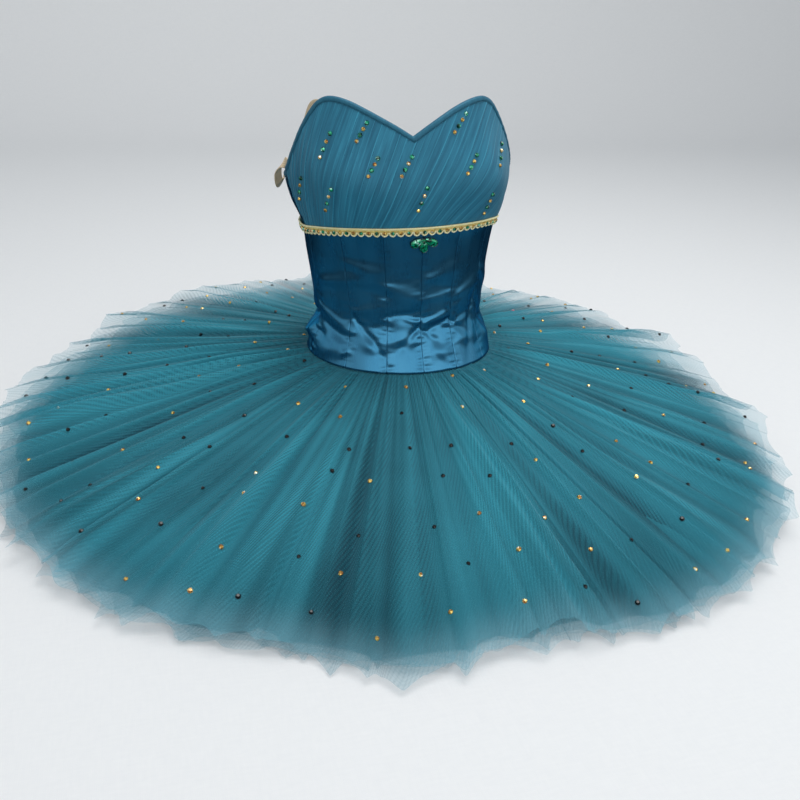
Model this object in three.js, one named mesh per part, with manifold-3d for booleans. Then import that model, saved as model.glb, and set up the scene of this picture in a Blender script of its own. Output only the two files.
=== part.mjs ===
// A ballet tutu: a boned satin bodice with a pleated bust overlay, standing on
// a round skirt of gathered nets that lies spread on a flat surface.
// Millimetres, +Z up. The centre front faces -Y and the wearer's left is +X.
// The origin is on the surface, under the middle of the skirt.

import * as THREE from 'three';
import Module from 'manifold-3d';
import { mergeVertices } from 'three/addons/utils/BufferGeometryUtils.js';

const wasm = await Module();
wasm.setup();

// Driving dimensions
const CLOTH = 1.5;               // thickness of one cloth wall
const SEAM_GAP = 0.3;            // clearance between pieces sewn side by side
const SKIRT_RADIUS = 500;        // mean radius of the nets' outer edge
const SKIRT_MIDDLE = { x: -6.2, y: 5.7 };   // middle of the nets from the brief's
const HEM_HEIGHT = 111;          // lower edge of the satin, on top of the nets
const TRIM_WIDTH = 11;           // braid, from its cord to its scallop tips
const SCALLOP_PITCH = 8.3;
const BRAID_OUT = 1.2;           // back of the braid from the satin
const SCALLOP_CUSP = 0.68;       // depth between two scallops, share of the width
const CORD = { out: 3.2, height: 3.4, round: 0.4 };
const BINDING_WIDTH = 6;         // satin binding along the bodice's top edge
const BINDING_SHOULDER = 0.16;   // where its round top starts, share of the width
const BINDING_STEEPEST = 1.55;   // most that a slope widens the binding upright
const TOP_CLEARANCE = 1.2;       // between the binding and the cloth under it
const SIDE_SEAM = 80;            // degrees round from the centre front
const BODY_LEAN = Math.tan(THREE.MathUtils.degToRad(3.6));
const BODY_SHIFT = { x: 5.7, y: -1.8 };
const BODY_TURN = 2;             // degrees of the bodice round from the nets' front
const TWIST = { degrees: -7, start: 280, rise: 130 };
const RAISED_SIDE = 163;         // degrees: where the nets' edge lies highest
const BUST = { swell: 12, angle: 36, halfAngle: 20, height: 342, halfHeight: 42 };

// Depths in the wall, outwards from the satin's outer face
const OVERLAY_INNER = 0.6;
const OVERLAY_CLOTH = 1.2;
const PLEAT_RISE = 1.1;
const BINDING_INNER = -2;
const BINDING_BACK = 0.8;
const BRIEF_OUT = -2.3;
const UNDERLAP_OUT = -2.8;

// Bodice sections: half width, and depth in front of and behind the side line
const SECTIONS = [
  { height: 0, halfWidth: 120, frontDepth: 99, backDepth: 96 },
  { height: 90, halfWidth: 119, frontDepth: 98, backDepth: 95 },
  { height: 111, halfWidth: 117, frontDepth: 96, backDepth: 94 },
  { height: 150, halfWidth: 111, frontDepth: 92, backDepth: 87 },
  { height: 180, halfWidth: 108.5, frontDepth: 91, backDepth: 84 },
  { height: 200, halfWidth: 109.5, frontDepth: 91, backDepth: 84 },
  { height: 240, halfWidth: 114, frontDepth: 93, backDepth: 86 },
  { height: 277, halfWidth: 120, frontDepth: 97, backDepth: 90 },
  { height: 302, halfWidth: 128, frontDepth: 104, backDepth: 93 },
  { height: 336, halfWidth: 134, frontDepth: 110, backDepth: 95 },
  { height: 380, halfWidth: 132, frontDepth: 108, backDepth: 95 },
  { height: 430, halfWidth: 126, frontDepth: 100, backDepth: 94 },
];

// Height of the bodice's top edge on the wearer's right and left, at an angle
// from the centre front
const TOP_EDGE = [
  { angle: 0, right: 390, left: 390 },
  { angle: 7, right: 399.5, left: 400 },
  { angle: 15, right: 408.5, left: 410.5 },
  { angle: 22, right: 415.5, left: 418.5 },
  { angle: 30, right: 422, left: 425 },
  { angle: 38, right: 425, left: 428.5 },
  { angle: 44, right: 423.5, left: 428 },
  { angle: 49.5, right: 417, left: 422.5 },
  { angle: 54.5, right: 405, left: 411.5 },
  { angle: 60.5, right: 388.5, left: 393 },
  { angle: 68.5, right: 366.5, left: 368.5 },
  { angle: 80, right: 342, left: 343 },
  { angle: 95, right: 330, left: 330 },
  { angle: 115, right: 322, left: 322 },
  { angle: 140, right: 316, left: 316 },
  { angle: 180, right: 312, left: 312 },
];

// Top of the gold braid, under the bust
const TRIM = [
  { angle: -180, height: 274 },
  { angle: -120, height: 272 },
  { angle: -84, height: 273 },
  { angle: -63, height: 279 },
  { angle: -36, height: 286 },
  { angle: -16, height: 288.5 },
  { angle: 4, height: 290.3 },
  { angle: 26, height: 292 },
  { angle: 45, height: 291 },
  { angle: 73, height: 283 },
  { angle: 100, height: 277 },
  { angle: 140, height: 274 },
  { angle: 180, height: 274 },
];

// Satin panels of one half, between vertical seams
const PANELS = [
  { name: 'centre_front', from: 0, to: 22 },
  { name: 'princess_front', from: 22, to: 48 },
  { name: 'side_front', from: 48, to: SIDE_SEAM },
  { name: 'side_back', from: SIDE_SEAM, to: 115 },
  { name: 'princess_back', from: 115, to: 150 },
  { name: 'centre_back', from: 150, to: 180 },
];
const COLUMN_WIDTH = 5.5;        // degrees of a panel's columns
const WAIST_HEIGHT = 190;
const HEM_ROWS = 7;              // rows of a panel from its hem to the waist
const RIB_ROWS = 2;              // from the waist to the braid
const BUST_ROWS = 4;             // from the braid to the top edge
const UNDER_OVERLAY = -0.9;      // the front panels' depth under the overlay

// Soft folds of the satin between the hem and the ribs
const CREASES = [
  { angle: -99, height: 156, halfAngle: 17, halfHeight: 8.5, rise: -9 },
  { angle: -98, height: 135, halfAngle: 18, halfHeight: 8.5, rise: 5.5 },
  { angle: -60, height: 130, halfAngle: 12, halfHeight: 9, rise: 3 },
  { angle: -34, height: 166, halfAngle: 10, halfHeight: 8, rise: -2.5 },
  { angle: -30, height: 142, halfAngle: 9, halfHeight: 9, rise: 3 },
  { angle: -8, height: 178, halfAngle: 10, halfHeight: 8, rise: -2.5 },
  { angle: -10, height: 150, halfAngle: 8, halfHeight: 8, rise: 2.5 },
  { angle: 14, height: 162, halfAngle: 9, halfHeight: 8, rise: -2.5 },
  { angle: 12, height: 134, halfAngle: 9, halfHeight: 8, rise: 2.5 },
  { angle: 38, height: 172, halfAngle: 11, halfHeight: 9, rise: -3 },
  { angle: 36, height: 146, halfAngle: 10, halfHeight: 9, rise: 3 },
  { angle: 66, height: 160, halfAngle: 14, halfHeight: 10, rise: -3.5 },
  { angle: 70, height: 137, halfAngle: 14, halfHeight: 9, rise: 3.5 },
  { angle: 104, height: 168, halfAngle: 14, halfHeight: 9, rise: -3 },
  { angle: 108, height: 143, halfAngle: 13, halfHeight: 9, rise: 3.5 },
  { angle: 150, height: 172, halfAngle: 14, halfHeight: 9, rise: -3 },
  { angle: 152, height: 146, halfAngle: 12, halfHeight: 9, rise: 3 },
  { angle: -126, height: 170, halfAngle: 14, halfHeight: 9, rise: -3 },
  { angle: -130, height: 144, halfAngle: 13, halfHeight: 9, rise: 3.5 },
  { angle: -160, height: 178, halfAngle: 12, halfHeight: 9, rise: -2.5 },
];

// Pleated bust overlay: fine knife pleats that slant up to the wearer's left
const PLEATS = 43;
const PLEAT_SLANT = 34;          // degrees that a pleat moves round, foot to top
const PLEAT_CREST = 0.82;        // place of the folded edge across one pleat
const OVERLAY_ROWS = 7;
const NOTCH_HALF_ANGLE = 3.8;    // the overlay ends level across the front notch

// Outer edge of the nets seen from above, as shares of the skirt's radius
const NET_EDGE = [
  { angle: -180, share: 0.996 },
  { angle: -163, share: 1.012 },
  { angle: -147, share: 1.02 },
  { angle: -128, share: 0.97 },
  { angle: -112, share: 0.972 },
  { angle: -96, share: 0.996 },
  { angle: -78, share: 1.006 },
  { angle: -45, share: 1.014 },
  { angle: -26, share: 0.978 },
  { angle: -14, share: 1.002 },
  { angle: 1, share: 0.96 },
  { angle: 11, share: 0.99 },
  { angle: 36, share: 1.024 },
  { angle: 58, share: 1 },
  { angle: 80, share: 0.978 },
  { angle: 100, share: 0.978 },
  { angle: 128, share: 1.012 },
  { angle: 146, share: 0.974 },
  { angle: 163, share: 0.98 },
  { angle: 180, share: 0.996 },
];

// Layers of net: height at the hip and at the edge's lowest and highest side
const NETS = [
  {
    name: 'top', hip: 110.6, low: 13, high: 40, inset: 0,
    folds: 60, samples: 3, foldHeight: 4.6, tip: 15, rows: [1, 0.65, 0.35, 0.12, 0],
  },
  {
    name: 'middle', hip: 62, low: 5.5, high: 20, inset: 9,
    folds: 30, samples: 3, foldHeight: 1.3, tip: 13, rows: [1, 0.6, 0.25, 0],
  },
  {
    name: 'base', hip: CLOTH, low: CLOTH, high: CLOTH, inset: 20,
    folds: 36, samples: 2, foldHeight: 0, tip: 14, rows: [1, 0.5, 0],
  },
];
const GORES = 6;                 // widths of net joined round each layer
const NET_SAG = 1.08;            // how the height falls from hip to edge: 1 is straight
const FOLD_SPREAD = 0.7;         // how the folds open towards the edge

// Brief that carries the nets, with its gusset between two leg holes
const BRIEF_TOP = 114;
const BRIEF_COLUMNS = 12;
const BRIEF_ROWS = 4;
const GUSSET_HALF_WIDTH = 42;
const GUSSET_WAIST = 0.72;       // its width at the middle, as a share
const GUSSET_EASE = 1.1;         // clears the brief's facets at both ends

// Elastic shoulder straps, left slack
const STRAP_WIDTH = 13;
const STRAP_CLOTH = 1.4;
const STRAP_STEPS = 26;
const STRAP_RIGHT = [
  { angle: -44, height: 394, out: -4.1, tilt: 0 },
  { angle: -48, height: 412, out: -4.4, tilt: 0 },
  { angle: -53, height: 411, out: -5.5, tilt: 0 },
  { angle: -59, height: 392, out: -7, tilt: 0 },
  { angle: -69, height: 360, out: -8, tilt: 0 },
  { angle: -82, height: 340, out: -9, tilt: 0 },
  { angle: -94, height: 336, out: -8, tilt: 0 },
  { angle: -101, height: 338, out: -1, tilt: 10 },
  { angle: -105, height: 327, out: 9, tilt: 30 },
  { angle: -109, height: 312, out: 13, tilt: 30 },
  { angle: -113, height: 312, out: 12, tilt: 25 },
  { angle: -117, height: 326, out: 6, tilt: 20 },
  { angle: -121, height: 333, out: -3, tilt: 10 },
  { angle: -127, height: 321, out: -8, tilt: 0 },
  { angle: -134, height: 304, out: -3.2, tilt: 0 },
];
const STRAP_LEFT = [
  { angle: 44, height: 394, out: -4.9, tilt: 0 },
  { angle: 50, height: 396, out: -7, tilt: 0 },
  { angle: 58, height: 370, out: -8, tilt: 0 },
  { angle: 68, height: 340, out: -8, tilt: 0 },
  { angle: 80, height: 316, out: -8, tilt: 0 },
  { angle: 94, height: 300, out: -8, tilt: 0 },
  { angle: 110, height: 294, out: -7, tilt: 0 },
  { angle: 124, height: 297, out: -6, tilt: 0 },
  { angle: 134, height: 304, out: -3.6, tilt: 0 },
];

// Centre back closing: an underlap strip and a row of hook plates
const HOOKS = 7;
const HOOK = { halfAngle: 4.2, height: 5, thickness: 1.4, first: 138, last: 256 };
const UNDERLAP = { halfAngle: 8, low: 132, high: 296, columns: 4, rows: 6 };

// Brooch: a fan of pear-cut stones on one setting, under the braid
const BROOCH_HEIGHT = 276;
const PEARS = [
  { turn: -60, length: 17.5, halfWidth: 4.8 },
  { turn: 0, length: 16.5, halfWidth: 4.9 },
  { turn: 66, length: 18, halfWidth: 4.8 },
];
const PEAR_SIDES = 9;
const PEAR_CENTRE = 0.62;        // middle of its flat top, share of the length
const SETTING = { radius: 2.8, height: 1.4 };
const PEAR_LEVELS = [
  { height: 1.8, scale: 1 },
  { height: 2.9, scale: 1 },
  { height: 4.6, scale: 0.55 },
];

// Finishes
const FINISH = {
  satin: { color: 0x0f4a66, roughness: 0.38, metalness: 0 },
  pleated: { color: 0x1f6482, roughness: 0.5, metalness: 0 },
  net: { color: 0x2b7583, roughness: 0.85, metalness: 0 },
  braid: { color: 0xc9b458, roughness: 0.4, metalness: 0.6 },
  stone: { color: 0x008a55, roughness: 0.1, metalness: 0 },
  elastic: { color: 0xd8c49a, roughness: 0.8, metalness: 0 },
  hook: { color: 0x9a9a9c, roughness: 0.35, metalness: 1 },
};

// Small tools

const rad = THREE.MathUtils.degToRad;
const mix = THREE.MathUtils.lerp;
const bell = (distance) => Math.exp(-distance * distance);

// A smooth curve through two named columns of a table.
function tableCurve(table, from, to) {
  const last = table.length - 1;
  const slopes = table.map((row, i) => {
    const before = table[Math.max(i - 1, 0)];
    const after = table[Math.min(i + 1, last)];
    return (after[to] - before[to]) / (after[from] - before[from]);
  });
  return (value) => {
    const place = THREE.MathUtils.clamp(value, table[0][from], table[last][from]);
    let i = 0;
    while (i < last - 1 && table[i + 1][from] < place) i += 1;
    const step = table[i + 1][from] - table[i][from];
    const u = (place - table[i][from]) / step;
    const rise = u * u * (3 - 2 * u);
    const leave = u * (1 - u) * (1 - u) * step;
    const arrive = u * u * (u - 1) * step;
    return mix(table[i][to], table[i + 1][to], rise)
      + slopes[i] * leave + slopes[i + 1] * arrive;
  };
}

// Turns a triangle list over where it was wound inside out.
function closedGeometry(points, triangles) {
  const cross = new THREE.Vector3();
  let volume = 0;
  for (const [a, b, c] of triangles) {
    volume += points[a].dot(cross.crossVectors(points[b], points[c]));
  }
  const wound = volume > 0 ? triangles : triangles.map(([a, b, c]) => [a, c, b]);
  const geometry = new THREE.BufferGeometry().setFromPoints(points);
  geometry.setIndex(wound.flat());
  geometry.computeVertexNormals();
  return geometry;
}

// A wall of cloth between two grids of points, closed along its four edges.
// outer and inner take a column and a row and give a point.
function wall(columns, rows, outer, inner) {
  const points = [];
  const triangles = [];
  const side = (columns + 1) * (rows + 1);
  for (const face of [outer, inner]) {
    for (let row = 0; row <= rows; row += 1) {
      for (let column = 0; column <= columns; column += 1) {
        points.push(face(column, row));
      }
    }
  }
  const at = (column, row, layer) => layer * side + row * (columns + 1) + column;
  const quad = (a, b, c, d) => triangles.push([a, b, c], [a, c, d]);
  for (let row = 0; row < rows; row += 1) {
    for (let column = 0; column < columns; column += 1) {
      const next = column + 1;
      quad(at(column, row, 0), at(next, row, 0), at(next, row + 1, 0), at(column, row + 1, 0));
      quad(at(column, row, 1), at(column, row + 1, 1), at(next, row + 1, 1), at(next, row, 1));
    }
  }
  for (let column = 0; column < columns; column += 1) {
    const next = column + 1;
    quad(at(column, 0, 1), at(next, 0, 1), at(next, 0, 0), at(column, 0, 0));
    quad(at(column, rows, 0), at(next, rows, 0), at(next, rows, 1), at(column, rows, 1));
  }
  for (let row = 0; row < rows; row += 1) {
    const up = row + 1;
    quad(at(0, row, 0), at(0, up, 0), at(0, up, 1), at(0, row, 1));
    quad(at(columns, row, 1), at(columns, up, 1), at(columns, up, 0), at(columns, row, 0));
  }
  return closedGeometry(points, triangles);
}

// A solid through a row of sections that have the same number of points.
function loft(sections) {
  const size = sections[0].length;
  const points = sections.flat();
  const triangles = [];
  for (let k = 0; k < sections.length - 1; k += 1) {
    for (let i = 0; i < size; i += 1) {
      const a = k * size + i;
      const b = k * size + (i + 1) % size;
      triangles.push([a, b, b + size], [a, b + size, a + size]);
    }
  }
  const end = (sections.length - 1) * size;
  for (let i = 1; i < size - 1; i += 1) {
    triangles.push([0, i + 1, i], [end, end + i, end + i + 1]);
  }
  return closedGeometry(points, triangles);
}

// The bodice's surface

const halfWidthAt = tableCurve(SECTIONS, 'height', 'halfWidth');
const frontDepthAt = tableCurve(SECTIONS, 'height', 'frontDepth');
const backDepthAt = tableCurve(SECTIONS, 'height', 'backDepth');
const rightEdgeAt = tableCurve(TOP_EDGE, 'angle', 'right');
const leftEdgeAt = tableCurve(TOP_EDGE, 'angle', 'left');
const topEdgeAt = (angle) => (angle < 0 ? rightEdgeAt(-angle) : leftEdgeAt(angle));
const trimAt = tableCurve(TRIM, 'angle', 'height');
const netShareAt = tableCurve(NET_EDGE, 'angle', 'share');

function swellAt(angle, height) {
  let swell = BUST.swell * bell((Math.abs(angle) - BUST.angle) / BUST.halfAngle)
    * bell((height - BUST.height) / BUST.halfHeight);
  for (const crease of CREASES) {
    const around = Math.abs(angle - crease.angle) % 360;
    const away = Math.min(around, 360 - around);
    swell += crease.rise * bell(away / crease.halfAngle)
      * bell((height - crease.height) / crease.halfHeight);
  }
  return swell;
}

// A point of the bodice at an angle round from the centre front, moved outwards.
function bodyPoint(angle, height, out) {
  const twist = TWIST.degrees * THREE.MathUtils.smoothstep(
    height, TWIST.start, TWIST.start + TWIST.rise);
  const turn = rad(angle + BODY_TURN + twist);
  const halfWidth = halfWidthAt(height);
  const depth = Math.cos(turn) > 0 ? frontDepthAt(height) : backDepthAt(height);
  const normal = new THREE.Vector2(Math.sin(turn) / halfWidth, -Math.cos(turn) / depth);
  normal.normalize().multiplyScalar(swellAt(angle, height) + out);
  const lean = BODY_LEAN * Math.max(0, height - HEM_HEIGHT);
  return new THREE.Vector3(
    halfWidth * Math.sin(turn) + normal.x + BODY_SHIFT.x - lean,
    -depth * Math.cos(turn) + normal.y + BODY_SHIFT.y,
    height,
  );
}

// Height of the line that lies a given width below the top edge.
function belowTopEdge(angle, width) {
  const reach = 1.5;
  const side = angle < 0 ? -1 : 1;
  const near = side * Math.max(Math.abs(angle) - reach, 0);
  const far = side * Math.min(Math.abs(angle) + reach, 180);
  const first = bodyPoint(near, topEdgeAt(near), 0);
  const second = bodyPoint(far, topEdgeAt(far), 0);
  const across = Math.hypot(second.x - first.x, second.y - first.y);
  const slope = (second.z - first.z) / across;
  return topEdgeAt(angle) - width * Math.min(Math.hypot(1, slope), BINDING_STEEPEST);
}

// Degrees that a length takes up round the bodice at its side.
const degreesFor = (length) => THREE.MathUtils.radToDeg(length / halfWidthAt(HEM_HEIGHT));

// The satin panels

function panelHeight(angle, row) {
  const braid = trimAt(angle) - TRIM_WIDTH / 2;
  if (row <= HEM_ROWS) return mix(HEM_HEIGHT, WAIST_HEIGHT, row / HEM_ROWS);
  if (row <= HEM_ROWS + RIB_ROWS) return mix(WAIST_HEIGHT, braid, (row - HEM_ROWS) / RIB_ROWS);
  const top = belowTopEdge(angle, BINDING_WIDTH) - TOP_CLEARANCE;
  return mix(braid, top, (row - HEM_ROWS - RIB_ROWS) / BUST_ROWS);
}

function panelGeometry(from, to) {
  const gap = degreesFor(SEAM_GAP) / 2;
  const rows = HEM_ROWS + RIB_ROWS + BUST_ROWS;
  const covered = Math.abs(from + to) / 2 < SIDE_SEAM;
  const columns = Math.round((to - from) / COLUMN_WIDTH);
  const face = (out) => (column, row) => {
    const angle = mix(from + gap, to - gap, column / columns);
    const sunk = covered && row > HEM_ROWS + RIB_ROWS ? UNDER_OVERLAY : 0;
    return bodyPoint(angle, panelHeight(angle, row), out + sunk);
  };
  return wall(columns, rows, face(0), face(-CLOTH));
}

// The pleated overlay: its columns are the pleats' crests and feet

function overlayGeometry() {
  const limit = SIDE_SEAM - degreesFor(SEAM_GAP);
  const columns = PLEATS * 2;
  const pleat = 2 * limit / PLEATS;
  const place = (column, row) => {
    const share = column % 2 ? PLEAT_CREST : 0;
    const start = -limit + pleat * (Math.floor(column / 2) + share);
    const slant = PLEAT_SLANT * (1 - Math.abs(start / limit) ** 3);
    const angle = start + slant * (row / OVERLAY_ROWS - 0.5);
    const beside = Math.abs(angle) < NOTCH_HALF_ANGLE ? 0 : angle;
    const top = belowTopEdge(beside, BINDING_WIDTH) - TOP_CLEARANCE;
    const foot = trimAt(angle) + SEAM_GAP;
    return { angle, height: mix(foot, top, row / OVERLAY_ROWS) };
  };
  const outer = (column, row) => {
    const { angle, height } = place(column, row);
    const rise = column % 2 ? PLEAT_RISE : 0;
    return bodyPoint(angle, height, OVERLAY_INNER + OVERLAY_CLOTH + rise);
  };
  const inner = (column, row) => {
    const { angle, height } = place(column, row);
    return bodyPoint(angle, height, OVERLAY_INNER);
  };
  return wall(columns, OVERLAY_ROWS, outer, inner);
}

// Binding of the top edge, from one angle to another

function bindingGeometry(from, to, steps, outerDepth) {
  const gap = degreesFor(SEAM_GAP) / 2;
  const section = (angle) => {
    const top = topEdgeAt(angle);
    const low = belowTopEdge(angle, BINDING_WIDTH);
    const shoulder = mix(top, low, BINDING_SHOULDER);
    return [
      bodyPoint(angle, low, outerDepth),
      bodyPoint(angle, shoulder, outerDepth),
      bodyPoint(angle, top, (outerDepth + BINDING_INNER) / 2),
      bodyPoint(angle, shoulder, BINDING_INNER),
      bodyPoint(angle, low, BINDING_INNER),
    ];
  };
  const sections = [];
  for (let i = 0; i <= steps; i += 1) {
    sections.push(section(mix(from + gap, to - gap, i / steps)));
  }
  return loft(sections);
}

// Gold braid: a raised cord with a row of scallops under it

function braidGeometry() {
  const level = trimAt(0);
  const round = Math.PI * (halfWidthAt(level) + frontDepthAt(level));
  const scallops = Math.round(round / SCALLOP_PITCH);
  const limit = 180 - degreesFor(SEAM_GAP);
  const tape = { inner: BRAID_OUT, outer: BRAID_OUT + CLOTH };
  const sections = [];
  for (let i = 0; i <= scallops * 2; i += 1) {
    const angle = mix(-limit, limit, i / (scallops * 2));
    const top = trimAt(angle);
    const low = top - TRIM_WIDTH * (i % 2 ? 1 : SCALLOP_CUSP);
    sections.push([
      bodyPoint(angle, top, tape.inner),
      bodyPoint(angle, top - CORD.round, CORD.out),
      bodyPoint(angle, top - CORD.height, CORD.out - CORD.round),
      bodyPoint(angle, low, tape.outer),
      bodyPoint(angle, low, tape.inner),
    ]);
  }
  return loft(sections);
}

// Layers of gathered net

// Fold edges round a layer in degrees, of uneven width, from -180 to 180.
function foldEdges(count) {
  const widths = [];
  for (let i = 0; i < count; i += 1) {
    widths.push(1 + 0.28 * Math.sin(i * 2.4) + 0.17 * Math.sin(i * 1.1 + 2));
  }
  const total = widths.reduce((sum, width) => sum + width, 0);
  const edges = [-180];
  for (const width of widths) edges.push(edges[edges.length - 1] + 360 * width / total);
  return edges;
}

function netGeometry(net, gore) {
  const edges = foldEdges(net.folds);
  const share = net.folds / GORES;
  const columns = share * net.samples;
  const angleAt = (column) => {
    const fold = gore * share + Math.floor(column / net.samples);
    const next = Math.min(fold + 1, net.folds);
    return mix(edges[fold], edges[next], (column % net.samples) / net.samples);
  };
  const crestAt = (column) => {
    const fold = gore * share + Math.floor(column / net.samples);
    const size = 0.75 + 0.25 * Math.sin(fold % net.folds * 1.9 + 0.6);
    return (column % net.samples === 0 ? 1 : -0.5) * size;
  };
  const face = (drop) => (column, row) => {
    const reach = net.rows[row];
    const angle = angleAt(column);
    const crest = crestAt(column);
    const raised = (1 - Math.cos(rad(angle - RAISED_SIDE + 180))) / 2;
    const edge = mix(net.low, net.high, raised);
    const tip = net.tip * (crest / 1.6 - 0.19);
    const radius = SKIRT_RADIUS * netShareAt(angle) - net.inset + tip;
    const root = bodyPoint(angle, Math.max(net.hip - drop, 0), BRIEF_OUT + SEAM_GAP);
    const rim = new THREE.Vector3(radius * Math.sin(rad(angle)), -radius * Math.cos(rad(angle)), 0);
    const point = root.clone().lerp(rim, reach);
    const fold = net.foldHeight * crest * reach ** FOLD_SPREAD;
    point.z = mix(net.hip, edge, reach ** NET_SAG) + fold - drop;
    const side = column === 0 ? 1 : column === columns ? -1 : 0;
    const along = new THREE.Vector3(Math.cos(rad(angle)), Math.sin(rad(angle)), 0);
    return point.addScaledVector(along, side * SEAM_GAP / 2);
  };
  return wall(columns, net.rows.length - 1, face(0), face(CLOTH));
}

// The brief and its gusset

function briefGeometry(from, to) {
  const gap = degreesFor(SEAM_GAP) / 2;
  const face = (out) => (column, row) => {
    const angle = mix(from + gap, to - gap, column / BRIEF_COLUMNS);
    return bodyPoint(angle, BRIEF_TOP * row / BRIEF_ROWS, out);
  };
  return wall(BRIEF_COLUMNS, BRIEF_ROWS, face(BRIEF_OUT), face(BRIEF_OUT - CLOTH));
}

function gussetGeometry() {
  const columns = 4;
  const rows = 6;
  const clear = CLOTH - BRIEF_OUT + SEAM_GAP + GUSSET_EASE;
  const face = (height) => (column, row) => {
    const across = mix(-GUSSET_HALF_WIDTH, GUSSET_HALF_WIDTH, column / columns);
    const along = row / rows * 2 - 1;
    const taper = mix(GUSSET_WAIST, 1, along * along);
    const depth = along < 0 ? frontDepthAt(0) : backDepthAt(0);
    const bow = Math.sqrt(1 - (across / (halfWidthAt(0) - clear)) ** 2);
    return new THREE.Vector3(
      across * taper + BODY_SHIFT.x,
      along * (depth - clear) * bow + BODY_SHIFT.y,
      height,
    );
  };
  return wall(columns, rows, face(CLOTH), face(0));
}

// An elastic strap that follows a table of places on the bodice

function strapGeometry(route) {
  const middle = new THREE.CatmullRomCurve3(
    route.map(({ angle, height, out }) => bodyPoint(angle, height, out)));
  const numbered = route.map((row, index) => ({ ...row, index }));
  const tiltAt = tableCurve(numbered, 'index', 'tilt');
  const angleAt = tableCurve(numbered, 'index', 'angle');
  const sections = [];
  for (let i = 0; i <= STRAP_STEPS; i += 1) {
    const share = i / STRAP_STEPS;
    const centre = middle.getPoint(share);
    const along = middle.getTangent(share);
    const angle = rad(angleAt(share * (route.length - 1)));
    const face = new THREE.Vector3(Math.sin(angle), -Math.cos(angle), 0);
    face.applyAxisAngle(along, rad(tiltAt(share * (route.length - 1))) * -Math.sign(route[0].angle));
    const across = new THREE.Vector3().crossVectors(along, face).setLength(STRAP_WIDTH / 2);
    const normal = new THREE.Vector3().crossVectors(across, along).setLength(STRAP_CLOTH / 2);
    const corner = (a, n) => centre.clone().addScaledVector(across, a).addScaledVector(normal, n);
    sections.push([corner(-1, -1), corner(1, -1), corner(1, 1), corner(-1, 1)]);
  }
  return loft(sections);
}

// Centre back closing

function hookGeometry(index) {
  const middle = mix(HOOK.first, HOOK.last, index / (HOOKS - 1));
  const face = (out) => (column, row) => bodyPoint(
    180 + HOOK.halfAngle * (column - 1), middle + HOOK.height * (row - 0.5), out);
  return wall(2, 1, face(SEAM_GAP + HOOK.thickness), face(SEAM_GAP));
}

function underlapGeometry() {
  const { halfAngle, low, high, columns, rows } = UNDERLAP;
  const face = (out) => (column, row) => bodyPoint(
    180 + halfAngle * (2 * column / columns - 1), mix(low, high, row / rows), out);
  return wall(columns, rows, face(UNDERLAP_OUT), face(UNDERLAP_OUT - CLOTH));
}

// The brooch: flat pears joined into one fan, then laid on the bodice

function toManifold(geometry) {
  const bare = geometry.clone();
  bare.deleteAttribute('normal');
  bare.deleteAttribute('uv');
  const merged = mergeVertices(bare, 1e-4);
  return new wasm.Manifold(new wasm.Mesh({
    numProp: 3,
    vertProperties: Float32Array.from(merged.attributes.position.array),
    triVerts: Uint32Array.from(merged.index.array),
  }));
}

function pearGeometry({ turn, length, halfWidth }) {
  const outline = [];
  for (let i = 0; i < PEAR_SIDES; i += 1) {
    const angle = 2 * Math.PI * i / PEAR_SIDES;
    const swell = (0.62 + 0.38 * Math.cos(angle)) ** 0.6;
    const across = halfWidth * 1.3 * Math.sin(angle) * swell;
    outline.push([across, -length * (1 + Math.cos(angle)) / 2]);
  }
  const centre = -length * PEAR_CENTRE;
  const sections = PEAR_LEVELS.map(({ height, scale }) => outline.map(([x, y]) => {
    const point = new THREE.Vector3(x * scale, centre + (y - centre) * scale, height);
    return point.applyAxisAngle(new THREE.Vector3(0, 0, 1), rad(turn));
  }));
  return loft(sections);
}

function broochGeometry() {
  const disc = new THREE.CylinderGeometry(SETTING.radius, SETTING.radius, SETTING.height, 8);
  disc.rotateX(Math.PI / 2).translate(0, 0, PEAR_LEVELS[0].height + SETTING.height / 2);
  const joined = PEARS.reduce((sum, pear) => sum.add(toManifold(pearGeometry(pear))),
    toManifold(disc));
  const mesh = joined.getMesh();
  const flat = mesh.vertProperties;
  const points = [];
  for (let i = 0; i < flat.length; i += mesh.numProp) {
    const across = THREE.MathUtils.radToDeg(flat[i] / halfWidthAt(BROOCH_HEIGHT));
    points.push(bodyPoint(across, BROOCH_HEIGHT + flat[i + 1], flat[i + 2]));
  }
  const triangles = [];
  for (let i = 0; i < mesh.triVerts.length; i += 3) {
    triangles.push([...mesh.triVerts.slice(i, i + 3)]);
  }
  return closedGeometry(points, triangles);
}

// The garment

const tutu = new THREE.Group();

function add(name, geometry, finish) {
  const mesh = new THREE.Mesh(geometry, new THREE.MeshStandardMaterial(FINISH[finish]));
  mesh.name = name;
  tutu.add(mesh);
}

for (const { name, from, to } of PANELS) {
  add(`panel_${name}_left`, panelGeometry(from, to), 'satin');
  add(`panel_${name}_right`, panelGeometry(-to, -from), 'satin');
}
add('bust_overlay', overlayGeometry(), 'pleated');

const overlayFace = OVERLAY_INNER + OVERLAY_CLOTH + PLEAT_RISE;
add('binding_front', bindingGeometry(-SIDE_SEAM, SIDE_SEAM, 40, overlayFace), 'satin');
add('binding_back_left', bindingGeometry(SIDE_SEAM, 180, 14, BINDING_BACK), 'satin');
add('binding_back_right', bindingGeometry(-180, -SIDE_SEAM, 14, BINDING_BACK), 'satin');
add('gold_braid', braidGeometry(), 'braid');
add('brooch', broochGeometry(), 'stone');

for (const net of NETS) {
  for (let gore = 0; gore < GORES; gore += 1) {
    add(`net_${net.name}_${gore + 1}`, netGeometry(net, gore), 'net');
  }
}
add('brief_front', briefGeometry(-90, 90), 'net');
add('brief_back', briefGeometry(90, 270), 'net');
add('brief_gusset', gussetGeometry(), 'net');

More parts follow.
